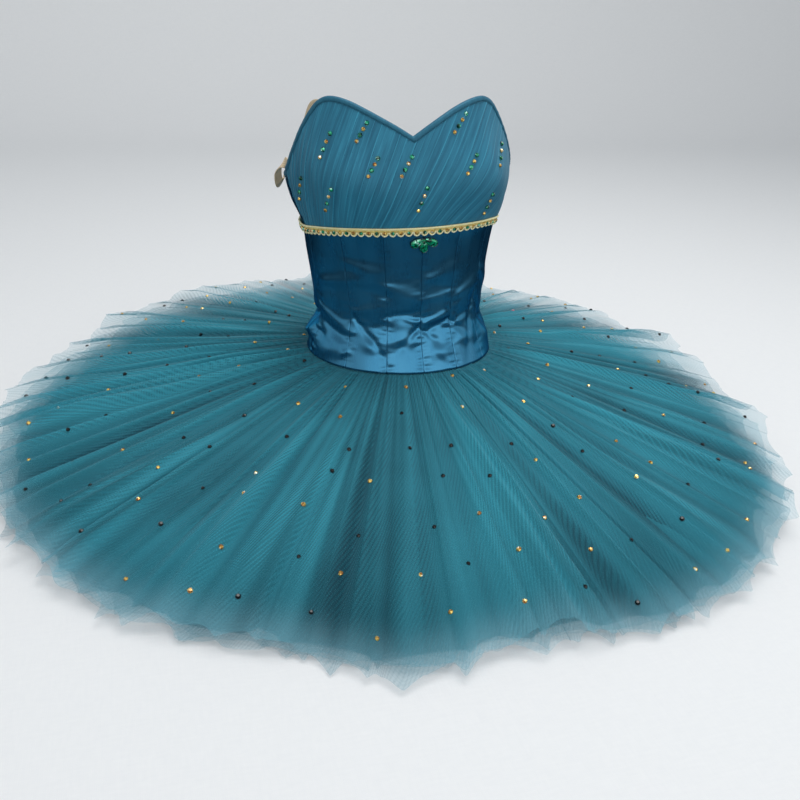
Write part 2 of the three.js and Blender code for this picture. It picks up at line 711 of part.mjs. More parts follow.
add('strap_left', strapGeometry(STRAP_LEFT), 'elastic');
add('strap_right', strapGeometry(STRAP_RIGHT), 'elastic');
add('back_underlap', underlapGeometry(), 'satin');
for (let index = 0; index < HOOKS; index += 1) {
  add(`back_hook_${index + 1}`, hookGeometry(index), 'hook');
}

tutu.position.set(-SKIRT_MIDDLE.x, -SKIRT_MIDDLE.y, 0);

export default tutu;
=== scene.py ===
# %% [markdown]
# # A ballet tutu
# This is a stage costume that lies on a table: a boned satin bodice, open at the top,
# stands on a wide round skirt of gathered net. The solids of the frame already hold the
# size and place of each piece. This script gives each piece the cloth, folds and stones
# that show, in the same millimetres, and leaves the frame where it is.

import math

import bmesh
import bpy
import numpy as np
from mathutils import Matrix, Vector


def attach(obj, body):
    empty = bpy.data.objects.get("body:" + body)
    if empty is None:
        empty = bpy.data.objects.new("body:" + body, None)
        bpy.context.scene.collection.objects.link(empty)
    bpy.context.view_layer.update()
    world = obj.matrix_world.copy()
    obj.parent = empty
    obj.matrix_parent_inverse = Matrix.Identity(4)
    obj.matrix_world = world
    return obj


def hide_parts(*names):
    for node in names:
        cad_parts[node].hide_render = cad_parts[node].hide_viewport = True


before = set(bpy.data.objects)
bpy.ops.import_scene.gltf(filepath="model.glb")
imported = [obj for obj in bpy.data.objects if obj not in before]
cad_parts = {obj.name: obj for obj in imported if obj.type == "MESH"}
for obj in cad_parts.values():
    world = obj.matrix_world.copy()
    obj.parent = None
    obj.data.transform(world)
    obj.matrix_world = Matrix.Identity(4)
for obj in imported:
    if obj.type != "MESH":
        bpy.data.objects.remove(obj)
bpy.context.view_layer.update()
MM = 0.001

# %% [markdown]
# ## The camera
# The garment was seen from a standing person's height, a little to one side of its
# centre front, by a camera held slightly askew. A camera that looks along a direction
# can be aimed with `to_track_quat`, and the small roll is then turned about its own axis.
# The focal length in pixels is turned into a lens for a sensor 36 mm wide.

# %% Camera
IMAGE_WIDTH = 800
FOCAL_PIXELS = 900
CAMERA_PLACE = Vector((-0.3005, -1.0491, 0.5471))
CAMERA_TURN = math.radians(17)
CAMERA_PITCH = math.radians(25.5)
CAMERA_ROLL = math.radians(3.11)

aim = Vector((math.sin(CAMERA_TURN) * math.cos(CAMERA_PITCH),
              math.cos(CAMERA_TURN) * math.cos(CAMERA_PITCH), -math.sin(CAMERA_PITCH)))
lens = bpy.data.cameras.new("camera")
lens.sensor_width = 36
lens.lens = lens.sensor_width * FOCAL_PIXELS / IMAGE_WIDTH
lens.clip_start = 0.05
camera = bpy.data.objects.new("camera", lens)
camera.rotation_mode = "QUATERNION"
camera.location = CAMERA_PLACE
camera.rotation_quaternion = (Matrix.Rotation(-CAMERA_ROLL, 3, aim).to_quaternion()
                              @ aim.to_track_quat("-Z", "Y"))
bpy.context.scene.collection.objects.link(camera)
bpy.context.scene.camera = camera
print("camera", [round(v, 3) for v in camera.location], "lens", round(lens.lens, 1))

# %% [markdown]
# ## The surface of the bodice
# A fitted bodice has no flat or round stretch, so one formula stands for all of it: a
# table of oval sections, a smooth curve through each of its columns, and a push along
# the outward normal for the bust and the soft folds. An angle goes round from the centre
# front towards the wearer's left. Every piece that lies on the bodice asks this one
# function for its points, which is why they all fit each other.

# %% Smooth curves through tables
def smooth(share):
    """A smooth step from 0 to 1."""
    share = np.clip(share, 0, 1)
    return share * share * (3 - 2 * share)


def bell(distance):
    """A bell-shaped bump, 1 at distance 0."""
    return np.exp(-np.square(distance))


def mix(first, second, share):
    """A value that is a share of the way from one to another."""
    return first + (second - first) * share


def table_curve(place, value):
    """A curve with level tangents at its ends through the given places."""
    place, value = np.array(place, float), np.array(value, float)
    count = np.arange(len(place))
    before, after = np.maximum(count - 1, 0), np.minimum(count + 1, len(place) - 1)
    slope = (value[after] - value[before]) / (place[after] - place[before])

    def curve(at):
        at = np.clip(at, place[0], place[-1])
        i = np.clip(np.searchsorted(place, at) - 1, 0, len(place) - 2)
        step = place[i + 1] - place[i]
        u = (at - place[i]) / step
        return (mix(value[i], value[i + 1], u * u * (3 - 2 * u))
                + slope[i] * u * (1 - u) ** 2 * step + slope[i + 1] * u * u * (u - 1) * step)

    return curve


print("half way up a smooth step:", smooth(0.5))

# %% Sections of the bodice
HEM_HEIGHT = 111
HEM_HALF_WIDTH = 117
TRIM_WIDTH = 11
SIDE_SEAM = 80
SEAM_GAP = 0.3
BINDING_WIDTH = 6
SKIRT_MIDDLE = np.array([6.2, -5.7])
BODY_SHIFT = np.array([5.7, -1.8])
BODY_TURN = 2
BODY_LEAN = math.tan(math.radians(3.6))
TWIST = {"degrees": -7, "start": 280, "rise": 130}
BUST = {"swell": 12, "angle": 36, "half_angle": 20, "height": 342, "half_height": 42}

#           height, half width, depth in front, depth behind
SECTIONS = [
    (0, 120, 99, 96), (90, 119, 98, 95), (111, 117, 96, 94), (150, 111, 92, 87),
    (180, 108.5, 91, 84), (200, 109.5, 91, 84), (240, 114, 93, 86), (277, 120, 97, 90),
    (302, 128, 104, 93), (336, 134, 110, 95), (380, 132, 108, 95), (430, 126, 100, 94),
]
#           angle from the centre front, top edge on the wearer's right, on the left
TOP_EDGE = [
    (0, 390, 390), (7, 399.5, 400), (15, 408.5, 410.5), (22, 415.5, 418.5),
    (30, 422, 425), (38, 425, 428.5), (44, 423.5, 428), (49.5, 417, 422.5),
    (54.5, 405, 411.5), (60.5, 388.5, 393), (68.5, 366.5, 368.5), (80, 342, 343),
    (95, 330, 330), (115, 322, 322), (140, 316, 316), (180, 312, 312),
]
#           angle, height of the top of the gold braid
TRIM = [
    (-180, 274), (-120, 272), (-84, 273), (-63, 279), (-36, 286), (-16, 288.5), (4, 290.3),
    (26, 292), (45, 291), (73, 283), (100, 277), (140, 274), (180, 274),
]
#           angle, height, half angle, half height, rise of a soft fold in the satin
CREASES = [
    (-92, 270, 30, 24, -2.8), (-99, 156, 17, 8.5, -9), (-98, 135, 18, 8.5, 5.5),
    (-60, 130, 12, 9, 3), (-34, 166, 10, 8, -2.5), (-30, 142, 9, 9, 3), (-8, 178, 10, 8, -2.5),
    (-10, 150, 8, 8, 2.5), (14, 162, 9, 8, -2.5), (12, 134, 9, 8, 2.5),
    (38, 172, 11, 9, -3), (36, 146, 10, 9, 3), (66, 160, 14, 10, -3.5),
    (70, 137, 14, 9, 3.5), (104, 168, 14, 9, -3), (108, 143, 13, 9, 3.5),
    (150, 172, 14, 9, -3), (152, 146, 12, 9, 3), (-126, 170, 14, 9, -3),
    (-130, 144, 13, 9, 3.5), (-160, 178, 12, 9, -2.5),
]

heights, half_widths, front_depths, back_depths = zip(*SECTIONS)
half_width_at = table_curve(heights, half_widths)
front_depth_at = table_curve(heights, front_depths)
back_depth_at = table_curve(heights, back_depths)
edge_angles, right_edge, left_edge = zip(*TOP_EDGE)
right_edge_at = table_curve(edge_angles, right_edge)
left_edge_at = table_curve(edge_angles, left_edge)
trim_at = table_curve(*zip(*TRIM))


def top_edge_at(angle):
    """Height of the bodice's top edge."""
    return np.where(angle < 0, right_edge_at(np.abs(angle)), left_edge_at(np.abs(angle)))


def degrees_for(length):
    """Degrees that a length takes up round the hem of the bodice."""
    return math.degrees(length / HEM_HALF_WIDTH)


print("seam gap, degrees:", round(degrees_for(SEAM_GAP), 3))

# %% Points of the bodice
def swell_at(angle, height):
    """How far the bust and the soft folds push the surface out."""
    swell = (BUST["swell"] * bell((np.abs(angle) - BUST["angle"]) / BUST["half_angle"])
             * bell((height - BUST["height"]) / BUST["half_height"]))
    for middle, level, half_angle, half_height, rise in CREASES:
        around = np.abs(angle - middle) % 360
        away = np.minimum(around, 360 - around)
        swell = swell + rise * bell(away / half_angle) * bell((height - level) / half_height)
    return swell


def body_points(angle, height, out):
    """Points of the bodice in millimetres, moved outwards."""
    angle, height = np.asarray(angle, float), np.asarray(height, float)
    twist = TWIST["degrees"] * smooth((height - TWIST["start"]) / TWIST["rise"])
    turn = np.radians(angle + BODY_TURN + twist)
    half_width = half_width_at(height)
    depth = np.where(np.cos(turn) > 0, front_depth_at(height), back_depth_at(height))
    normal = np.stack([np.sin(turn) / half_width, -np.cos(turn) / depth])
    normal = normal / np.hypot(*normal) * (swell_at(angle, height) + out)
    lean = BODY_LEAN * np.maximum(0, height - HEM_HEIGHT)
    x = half_width * np.sin(turn) + normal[0] + BODY_SHIFT[0] + SKIRT_MIDDLE[0] - lean
    y = -depth * np.cos(turn) + normal[1] + BODY_SHIFT[1] + SKIRT_MIDDLE[1]
    return np.stack([x, y, height + 0 * x], axis=-1)


def below_top_edge(angle, width):
    """Height of the line a given width below the top edge."""
    angle = np.asarray(angle, float)
    side = np.where(angle < 0, -1, 1)
    near, far = np.maximum(np.abs(angle) - 1.5, 0), np.minimum(np.abs(angle) + 1.5, 180)
    step = (body_points(side * far, top_edge_at(side * far), 0)
            - body_points(side * near, top_edge_at(side * near), 0))
    slope = step[..., 2] / np.hypot(step[..., 0], step[..., 1])
    return top_edge_at(angle) - width * np.minimum(np.hypot(1, slope), 1.55)


front = body_points(0, HEM_HEIGHT, 0)
print("centre front of the hem, mm:", np.round(front, 1))

# %% [markdown]
# ## Cloth from a grid
# A piece of cloth is a grid of small squares that is bent to its shape. `create_grid`
# makes the squares, and a function then says where the point that is `u` of the way
# across and `v` of the way up belongs. That keeps the rows in order, so the wall, the
# weave and the folds all follow the cloth. Each corner also gets its place on the flat
# cloth in metres, which the weaves of the materials are drawn on.

# %% Grid of cloth
def new_object(name, mesh):
    piece = bpy.data.objects.new(name, mesh)
    bpy.context.scene.collection.objects.link(piece)
    return piece


def cloth_grid(name, columns, rows, place, flat_place, joined=False, extra=None):
    """A grid laid out by place(u, v) in mm, with its flat place(u, v) in mm as UV map."""
    cloth = bmesh.new()
    bmesh.ops.create_grid(cloth, x_segments=columns, y_segments=rows, size=0.5)
    mesh = bpy.data.meshes.new(name)
    cloth.to_mesh(mesh)
    cloth.free()
    flat = np.empty(len(mesh.vertices) * 3)
    mesh.vertices.foreach_get("co", flat)
    u, v = flat.reshape(-1, 3)[:, :2].T + 0.5
    mesh.vertices.foreach_set("co", (place(u, v) * MM).ravel())
    corner = np.empty(len(mesh.loops), np.int32)
    mesh.loops.foreach_get("vertex_index", corner)
    middle = u[corner].reshape(-1, 4).mean(axis=1).repeat(4)
    uv = mesh.uv_layers.new(name="cloth")
    uv.uv.foreach_set("vector", (flat_place(u[corner], v[corner], middle) * MM).ravel())
    for label, worth in (extra(u, v) if extra else {}).items():
        attribute = mesh.attributes.new(label, "FLOAT", "POINT")
        attribute.data.foreach_set("value", np.asarray(worth, np.float32))
    if joined:
        cloth = bmesh.new()
        cloth.from_mesh(mesh)
        bmesh.ops.remove_doubles(cloth, verts=cloth.verts, dist=0.01 * MM)
        cloth.to_mesh(mesh)
        cloth.free()
    mesh.shade_smooth()
    return new_object(name, mesh)


def thicken(piece, millimetres):
    """Gives a piece of cloth a wall, inwards from its outer face."""
    wall = piece.modifiers.new("wall", "SOLIDIFY")
    wall.thickness = millimetres * MM
    wall.offset = -1
    return piece


def dress(piece, material, slot, *nodes):
    """Puts a finish on a piece, in place of the solids that it stands for."""
    piece.data.materials.clear()
    piece.data.materials.append(material)
    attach(piece, "root")
    if nodes:
        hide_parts(*nodes)
    print(piece.name, len(piece.data.polygons), "faces")
    return piece


def area_of(piece):
    """Area of a piece's mesh in square metres, before its wall."""
    return sum(face.area for face in piece.data.polygons)


def lay_flat(piece, width, length, area, held, *rests_on):
    """Works out how large a piece of cloth is when it lies flat, in metres, and keeps the number
    nowhere.
    """
    round(min(area, width * length * 0.99), 5)


print("cloth helpers:", cloth_grid.__name__, thicken.__name__, dress.__name__, lay_flat.__name__)

# %% [markdown]
# ## Shader sums
# Materials here are small formulas. A class that stands for one socket of a material
# lets them be written as sums: each operator adds the Math node that works it out.

# %% Values of a material
class Value:
    """One socket of a material's nodes; sums on it add Math nodes."""

    def __init__(self, tree, socket=None):
        self.tree, self.socket = tree, socket

    def node(self, kind, settings=None, inputs=None, output=0):
        """Adds a node: its settings first, then its sockets' values or links."""
        made = self.tree.nodes.new(kind)
        for name, setting in (settings or {}).items():
            if name != "stops":
                setattr(made, name, setting)
                continue
            stops = made.color_ramp.elements
            while len(stops) < len(setting):
                stops.new(0.5)
            for stop, (place, colour) in zip(stops, setting):
                stop.position, stop.color = place, (*colour, 1)
        for name, given in (inputs or {}).items():
            if isinstance(given, Value):
                self.tree.links.new(given.socket, made.inputs[name])
            else:
                made.inputs[name].default_value = given
        return Value(self.tree, made.outputs[output])

    def sum(self, operation, *values):
        """Adds a Math node that works on some values."""
        return self.node("ShaderNodeMath", {"operation": operation}, dict(enumerate(values)))

    def __add__(self, other):
        return self.sum("ADD", self, other)

    def __radd__(self, other):
        return self.sum("ADD", other, self)

    def __sub__(self, other):
        return self.sum("SUBTRACT", self, other)

    def __rsub__(self, other):
        return self.sum("SUBTRACT", other, self)

    def __mul__(self, other):
        return self.sum("MULTIPLY", self, other)

    def __rmul__(self, other):
        return self.sum("MULTIPLY", other, self)

    def __truediv__(self, other):
        return self.sum("DIVIDE", self, other)

    def __pow__(self, other):
        return self.sum("POWER", self, other)

    def largest(self, other):
        return self.sum("MAXIMUM", self, other)

    def smallest(self, other):
        return self.sum("MINIMUM", self, other)

    def step(self, low, high):
        """A smooth step from 0 at low to 1 at high."""
        return self.node("ShaderNodeMapRange", {"interpolation_type": "SMOOTHSTEP"},
                         {0: self, 1: low, 2: high})

    def stripe(self):
        """1 on every whole number and 0 half way between, in straight lines."""
        return self.sum("PINGPONG", self, 0.5) * -2 + 1

    def line(self, place, half_width):
        """1 at a place, and 0 further than a half width from it."""
        return (self.sum("ABSOLUTE", self - place) / half_width * -1 + 1).largest(0)

    def blend(self, first, second):
        """A colour between two colours."""
        return self.node("ShaderNodeMix", {"data_type": "RGBA"},
                         {0: self, 6: first, 7: second}, 2)

    def parts(self):
        split = self.node("ShaderNodeSeparateXYZ", None, {0: self})
        return [Value(self.tree, socket) for socket in split.socket.node.outputs]

    def noise(self, scale, detail=2.0, roughness=0.5):
        return self.node("ShaderNodeTexNoise", {"noise_dimensions": "3D"},
                         {"Vector": self, "Scale": scale, "Detail": detail,
                          "Roughness": roughness})

    def stretched(self, *scale):
        return self.node("ShaderNodeMapping", {"vector_type": "POINT"},
                         {"Vector": self, "Scale": scale})


def colour(red, green, blue):
    """A colour given by its 0 to 255 screen numbers, as Blender's linear one."""
    screen = [v / 255 for v in (red, green, blue)]
    return tuple(v / 12.92 if v <= 0.04045 else ((v + 0.055) / 1.055) ** 2.4
                 for v in screen) + (1,)


def new_material(name):
    """A material with a shader, and a value to start its formulas from."""
    material = bpy.data.materials.new(name)
    material.use_nodes = True
    tree = material.node_tree
    return material, Value(tree), tree.nodes["Principled BSDF"]


def set_shader(start, shader, **sockets):
    """Sets or links sockets of a shader, named with _ for a space."""
    for name, given in sockets.items():
        socket = shader.inputs[name.replace("_", " ")]
        if isinstance(given, Value):
            start.tree.links.new(given.socket, socket)
        else:
            socket.default_value = given


def bump(start, height, distance, strength=1.0):
    """The normal of a surface that a height in 0 to 1 raises by a distance in mm."""
    return start.node("ShaderNodeBump", None,
                      {"Height": height, "Distance": distance * MM, "Strength": strength})


def flat_cloth(start):
    """The place on the flat cloth, in metres."""
    return start.node("ShaderNodeUVMap", {"uv_map": "cloth"})


print("mid grey:", [round(v, 3) for v in colour(128, 128, 128)])

# %% [markdown]
# ## Satin
# Satin has long floating threads on its face, so it mirrors its surroundings in broad
# soft patches: dark where it faces the dark net, bright where a fold turns up to the
# light. An almost metallic surface that is a little rough does the same. Fine stripes of
# threads and broad clouds in its roughness keep it from looking like plastic.

# %% Satin material
def satin_material(name, face, shade, thread_pitch=0.45):
    material, start, shader = new_material(name)
    place = flat_cloth(start)
    across, along, _ = place.parts()
    threads = (across / (thread_pitch * MM)).stripe() * 0.6 + (along / (0.9 * MM)).stripe() * 0.4
    clouds = place.stretched(1, 0.35, 1).noise(60, 3)
    soft = place.noise(14, 2)
    tone = clouds * 0.35 + soft * 0.65
    slack = place.stretched(0.6, 1.3, 1).noise(38, 2)
    set_shader(start, shader,
               Base_Color=tone.step(0.3, 0.7).blend(shade, face),
               Metallic=0.94,
               Roughness=0.22 + clouds * 0.1 + threads * 0.02,
               Normal=bump(start, slack, 1.6, 0.2),
               Specular_Tint=colour(110, 165, 200),
               Specular_IOR_Level=0.3)
    return material


SATIN = satin_material("satin", colour(76, 144, 180), colour(60, 126, 162))
print("materials:", SATIN.name)

# %% [markdown]
# ## Satin panels
# The bodice is cut in twelve panels, because flat cloth only follows a waist and a bust
# through its seams. Satin puckers at each seam where the thread pulls it, and above the
# hem it is slack and folds. The folds are listed one by one, each a line on the bodice
# with a width and a height, because that is how a hand would press them in.

# %% Folds and puckers of the satin
PANELS = [
    ("centre_front", 0, 22), ("princess_front", 22, 48), ("side_front", 48, SIDE_SEAM),
    ("side_back", SIDE_SEAM, 115), ("princess_back", 115, 150), ("centre_back", 150, 180),
]
#           from angle, height, to angle, height, half width, rise of a narrow fold
FOLDS = [
    (-78, 178, -47, 155, 4.5, 3.2), (-70, 157, -54, 147, 4, -3.4),
    (-62, 140, -50, 136, 6, 2.2), (-44, 171, -29, 143, 4, -3.8),
    (-40, 169, -31, 167, 4, 2.4), (-36, 160, -21, 150, 7, 2.2),
    (0, 169, -12, 143, 3.8, -3.6), (-21, 180, -2, 185, 3.6, -2.4),
    (-9, 175, 0, 171, 3, 2.2), (20, 172, 4, 160, 3.6, -3.4),
    (22, 170, 37, 148, 4, -3.6), (0, 162, 10, 148, 3.2, -2.8),
    (3, 171, 16, 179, 3.4, 2.6), (27, 164, 46, 173, 4.4, 2.6),
    (47, 195, 33, 117, 5, -2.6), (52, 182, 72, 141, 6, -3.2),
    (57, 150, 66, 124, 7, 3), (-27, 137, -21, 114, 5, -1.8),
    (-50, 128, -44, 139, 4, 2.2), (10, 128, 15, 112, 5, -1.2),
    (-88, 182, -47, 195, 8, 1.6), (-43, 182, -25, 190, 5, 1.6),
    (-20, 199, -2, 202, 6, 1.2), (1, 200, 19, 204, 4, 1.7),
    (24, 186, 44, 204, 5, 1.6), (-45, 214, -24, 208, 5, -1), (2, 222, 18, 214, 5, -1),
    (-108, 149, -84, 165, 4, -4.5), (-104, 128, -80, 150, 4.5, 4.2),
    (-96, 146, -86, 118, 3.5, -3.6), (-86, 121, -67, 122, 6, 2.4),
    (-84, 146, -72, 141, 3.6, -3), (-112, 120, -98, 128, 4, -2.5),
    (84, 176, 104, 158, 5, -3), (90, 150, 108, 134, 5, 2.8), (112, 182, 138, 170, 5, -2.4),
    (118, 150, 140, 160, 6, 2.4), (124, 128, 146, 140, 5, -2.6), (153, 160, 172, 150, 5, -2.6),
    (158, 140, 176, 128, 5, 2.2), (-176, 164, -158, 152, 5, -2.6),
    (-152, 176, -132, 160, 5, -2.8), (-148, 136, -126, 148, 6, 2.6),
    (-136, 122, -120, 134, 4, -2.4), (-178, 190, -156, 184, 6, 1.8),
    (-66, 212, -36, 222, 8, 3.6), (-20, 214, -6, 206, 9, 3.2), (6, 226, 19, 234, 9, 2.8),
    (28, 202, 44, 213, 8, 3.4), (-44, 240, -28, 232, 7, 2.6), (52, 224, 70, 206, 9, 3.6),
]
FOLD_DEPTH = 0.55
MM_PER_DEGREE = 1.95
SEAMS = sorted({sign * edge for _, *edges in PANELS for edge in edges for sign in (-1, 1)})
PUCKER_SPACING = 8.5


def fold_rise(angle, height):
    """How far all the narrow folds stand out at some places of the bodice."""
    total = np.zeros(np.shape(angle))
    for first, low, second, high, half_width, rise in FOLDS:
        run = np.array([(second - first) * MM_PER_DEGREE, high - low])
        away = np.stack([((angle - first + 180) % 360 - 180) * MM_PER_DEGREE, height - low])
        along = (away[0] * run[0] + away[1] * run[1]) / (run @ run)
        beside = (away[0] * run[1] - away[1] * run[0]) / np.hypot(*run)
        past = np.maximum(np.maximum(-along, along - 1), 0) * np.hypot(*run)
        taper = half_width * (0.65 + 0.7 * np.clip(along, 0, 1))
        total += rise * bell(beside / taper) * bell(past / (1.6 * half_width))
    return FOLD_DEPTH * total


def pucker_rise(angle, height, seams):
    """Dimples and the sunk line beside each seam."""
    total = np.zeros(np.shape(angle))
    for seam in seams:
        chance = np.random.default_rng(500 + int(abs(seam) * 2 + (seam < 0)))
        away = (angle - seam) * MM_PER_DEGREE
        total -= 0.35 * bell(away / 0.8)
        for level in np.arange(118, 300, PUCKER_SPACING):
            middle = level + chance.uniform(-2.5, 2.5)
            slack = mix(1.05, 0.2, smooth((middle - 170) / 70))
            depth = chance.uniform(0.35, 1.0) * slack
            reach = chance.uniform(4, 10)
            slant = chance.uniform(-0.25, 0.25)
            total -= (depth * bell((height - middle - slant * away) / 2.1)
                      * bell((np.abs(away) - 3) / reach) * smooth(np.abs(away) / 1.5))
    return total


print(len(FOLDS), "folds,", len(SEAMS), "seams")

# %% Panels
PANEL_COLUMNS = 26
PANEL_ROWS = 130
PANEL_WALL = 1.2
SEAM_LINE = 0.08
SEAM_ALLOWANCE = 4
PANEL_MM_PER_DEGREE = 2.4
#           height, how far the slack satin stands out there
HEM_SLACK = [
    (111, 4.5), (124, 1.8), (136, -0.9), (148, -2.5), (160, -3.3), (175, -3.3), (195, -2.7),
    (215, -2.2), (240, -1.2), (265, 0.2), (285, 1.0),
]
BRIEF_PIECES = ("knit_brief_front", "knit_brief_back")
hem_slack_at = table_curve(*zip(*HEM_SLACK))


def panel_piece(node, start, end):
    """A panel between two seams, from the hem to just under the binding."""
    gap = degrees_for(SEAM_LINE) / 2
    covered = abs(start + end) / 2 < SIDE_SEAM

    def spot(u, v):
        angle = mix(start + gap, end - gap, mix(u, 0.5 - 0.5 * np.cos(np.pi * u), 0.55))
        return angle, mix(HEM_HEIGHT, below_top_edge(angle, BINDING_WIDTH) - 2, v)

    def place(u, v):
        angle, height = spot(u, v)
        slack = 1 - smooth((height - 235) / 60)
        out = fold_rise(angle, height) * slack + pucker_rise(angle, height, (start, end))
        out = out + hem_slack_at(height) * mix(1, 0.45, smooth((np.abs(angle) - 40) / 40))
        sunk = 0.9 * smooth((height - trim_at(angle) + TRIM_WIDTH) / 10) if covered else 0
        return body_points(angle, height, out - sunk)

    def flat_place(u, v, middle):
        angle, height = spot(u, v)
        return np.stack([(angle - start) * 2.1, height], axis=-1)

    return thicken(cloth_grid(node, PANEL_COLUMNS, PANEL_ROWS, place, flat_place), PANEL_WALL)


for name, start, end in PANELS:
    for side, edges in (("left", (start, end)), ("right", (-end, -start))):
        panel = panel_piece(f"satin_{name}_{side}", *edges)
        dress(panel, SATIN, "satin", f"panel_{name}_{side}")
        width = abs(end - start) * PANEL_MM_PER_DEGREE * MM
        tallest = max(top_edge_at(np.linspace(*edges, 9))) - HEM_HEIGHT + SEAM_ALLOWANCE
        lay_flat(panel, width, tallest * MM, area_of(panel), "stretched", BRIEF_PIECES[start >= 90])
print(2 * len(PANELS), "panels")

# %% [markdown]
# ## Pleated bust overlay
# A thin cloth that shines less covers the bust in narrow pleats that slant up to the
# wearer's left. One pleat is a slow rise and a sharp drop at its folded edge. The pleats
# lean over more and more towards one side. So instead of a grid that follows them, a
# fine grid asks at each point which pleat it is in and how far across it. Their width
# and height vary as hand-laid pleats do, and they nearly die out high on one side.

# %% Overlay
PLEATS = 50
OVERLAY_COLUMNS = 610
OVERLAY_ROWS = 78
OVERLAY_FACE = 1.8
OVERLAY_WALL = 0.8
OVERLAY_WIDTH, OVERLAY_LENGTH = 620, 140
PLEAT_RISE = 0.75
PLEAT_CREST = 0.86
#           angle, degrees that a pleat leans over for each millimetre it rises
PLEAT_LEAN = [(-100, 0.16), (-60, 0.2), (-30, 0.25), (0, 0.33), (30, 0.43), (70, 0.46)]


def chiffon_material(name, light, dark, streaks=1.0):
    """A crinkled thin cloth whose streaks run up the pleats, with a painted highlight on each crest
    and a painted shadow at each folded edge.
    """
    material, start, shader = new_material(name)
    place = flat_cloth(start)
    across, along, _ = place.parts()
    weave = (across / (0.55 * MM)).stripe() * (along / (0.55 * MM)).stripe()
    streak = place.stretched(1, 0.05, 1).noise(420, 3, 0.6)
    broad = place.stretched(1, 0.1, 1).noise(110, 2, 0.5)
    share = start.node("ShaderNodeAttribute", {"attribute_name": "pleat_share"}, None, 2)
    depth = start.node("ShaderNodeAttribute", {"attribute_name": "fold_height"}, None, 2)
    # Painted light and shade: a pale line along each pleat's crest and a dark line at its folded
    # edge stand in for how the pleats catch the light.
    edges = (share.line(PLEAT_CREST, 0.11) * 0.42 - share.line(0.97, 0.1) * 0.42) * depth
    tone = (streak * 0.45 + broad * 0.35 + edges).step(0.02, 0.95)
    set_shader(start, shader,
               Base_Color=tone.blend(dark, light),
               Metallic=0.2,
               Roughness=0.48 + streak * 0.1,
               Normal=bump(start, streak * 0.55 * streaks + broad * 0.35 + weave * 0.1, 0.5, 0.5),
               Sheen_Weight=0.08,
               Sheen_Roughness=0.5,
               Specular_IOR_Level=0.35)
    return material


PLEATED = chiffon_material("pleated", colour(63, 159, 189), colour(10, 76, 104))
BOUND = chiffon_material("binding", colour(48, 120, 145), colour(24, 88, 112), 0.3)
overlay_limit = SIDE_SEAM - degrees_for(SEAM_GAP)
pleat_lean_at = table_curve(*zip(*PLEAT_LEAN))
pleat_chance = np.random.default_rng(43)
pleat_widths = pleat_chance.uniform(0.55, 1.45, PLEATS * 2)
pleat_edges = np.cumsum(pleat_widths) * 2 * SIDE_SEAM / PLEATS - 170
pleat_size = pleat_chance.uniform(0.5, 1.2, PLEATS * 2)


def overlay_spot(u, v):
    """Angle, height, number of the pleat and place across it."""
    angle = mix(-overlay_limit, overlay_limit, u)
    low = trim_at(angle) + SEAM_GAP - 1
    height = mix(low, below_top_edge(angle, BINDING_WIDTH) + 1, v)
    foot = angle - pleat_lean_at(angle - 0.3 * (height - 290)) * (height - 290)
    foot = foot + 0.25 * np.sin(foot * 0.31 + height * 0.02)
    pleat = np.clip(np.searchsorted(pleat_edges, foot) - 1, 0, len(pleat_edges) - 2)
    share = (foot - pleat_edges[pleat]) / (pleat_edges[pleat + 1] - pleat_edges[pleat])
    return angle, height, pleat, np.clip(share, 0, 1), foot


def pleat_profile(share):
    """A slow rise and a sharp drop, 0 at both feet."""
    rising = np.clip(share / PLEAT_CREST, 0, 1) ** 1.5
    falling = np.clip((1 - share) / (1 - PLEAT_CREST), 0, 1) ** 0.7
    return np.minimum(rising, falling)


def pleat_strength(u, v):
    """How deep the pleats are: shallow high on the wearer's right."""
    angle, height, pleat, _, _ = overlay_spot(u, v)
    smooth_patch = bell((angle + 42) / 16) * bell((height - 395) / 34)
    fade = 0.75 + 0.25 * np.sin(height * 0.06 + pleat * 2.1)
    return pleat_size[pleat] * fade * (1 - 0.7 * smooth_patch)


def overlay_place(u, v):
    angle, height, _, share, _ = overlay_spot(u, v)
    rise = PLEAT_RISE * pleat_profile(share) * pleat_strength(u, v) * smooth(v / 0.05)
    slack = 0.5 * np.sin(angle * 0.21 + 1) * np.sin(height * 0.045 + angle * 0.06)
    return body_points(angle, height, OVERLAY_FACE + rise + slack * np.sin(np.pi * v))


def overlay_flat(u, v, middle):
    _, height, _, _, foot = overlay_spot(u, v)
    return np.stack([foot * 2.2, height], axis=-1)


# The pleats' strength and the place across each pleat set where the material paints its crest
# highlight and edge shadow.
def overlay_folds(u, v):
    _, _, _, share, _ = overlay_spot(u, v)
    return {"fold_height": pleat_strength(u, v), "pleat_share": share}


overlay = cloth_grid("pleated_overlay", OVERLAY_COLUMNS, OVERLAY_ROWS, overlay_place,
                     overlay_flat, extra=overlay_folds)
overlay_area = area_of(overlay)
thicken(overlay, OVERLAY_WALL)
dress(overlay, PLEATED, "pleated", "bust_overlay")
lay_flat(overlay, OVERLAY_WIDTH * MM, OVERLAY_LENGTH * MM, overlay_area * 1.1, "gathered",
         "satin_centre_front_left", "satin_centre_front_right")
print(PLEATS, "pleats")

# %% [markdown]
# ## Binding of the top edge
# A strip of cloth is folded over the raw edges and stitched down, which leaves a soft
# round lip with a fine sunk line. It is a closed outline carried along the edge: the
# grid's columns go along and its rows go round the outline.

# %% Binding
#           share of the width down from the top edge, share from the inner face outwards
BINDING_OUTLINE = [
    (1.0, 0.5), (0.99, 0.82), (0.93, 0.95), (0.86, 0.8), (0.8, 0.97), (0.5, 1.06),
    (0.22, 1.0), (0.07, 0.84), (0.0, 0.5), (0.07, 0.16), (0.22, 0.0), (0.8, 0.0),
    (0.93, 0.03), (0.99, 0.2), (1.0, 0.5),
]


def closed_outline(points, share):
    """Places on a closed outline, rounded at its corners."""
    corner = np.linspace(0, 1, len(points))
    down, out = zip(*points)
    return np.interp(share, corner, down), np.interp(share, corner, out)


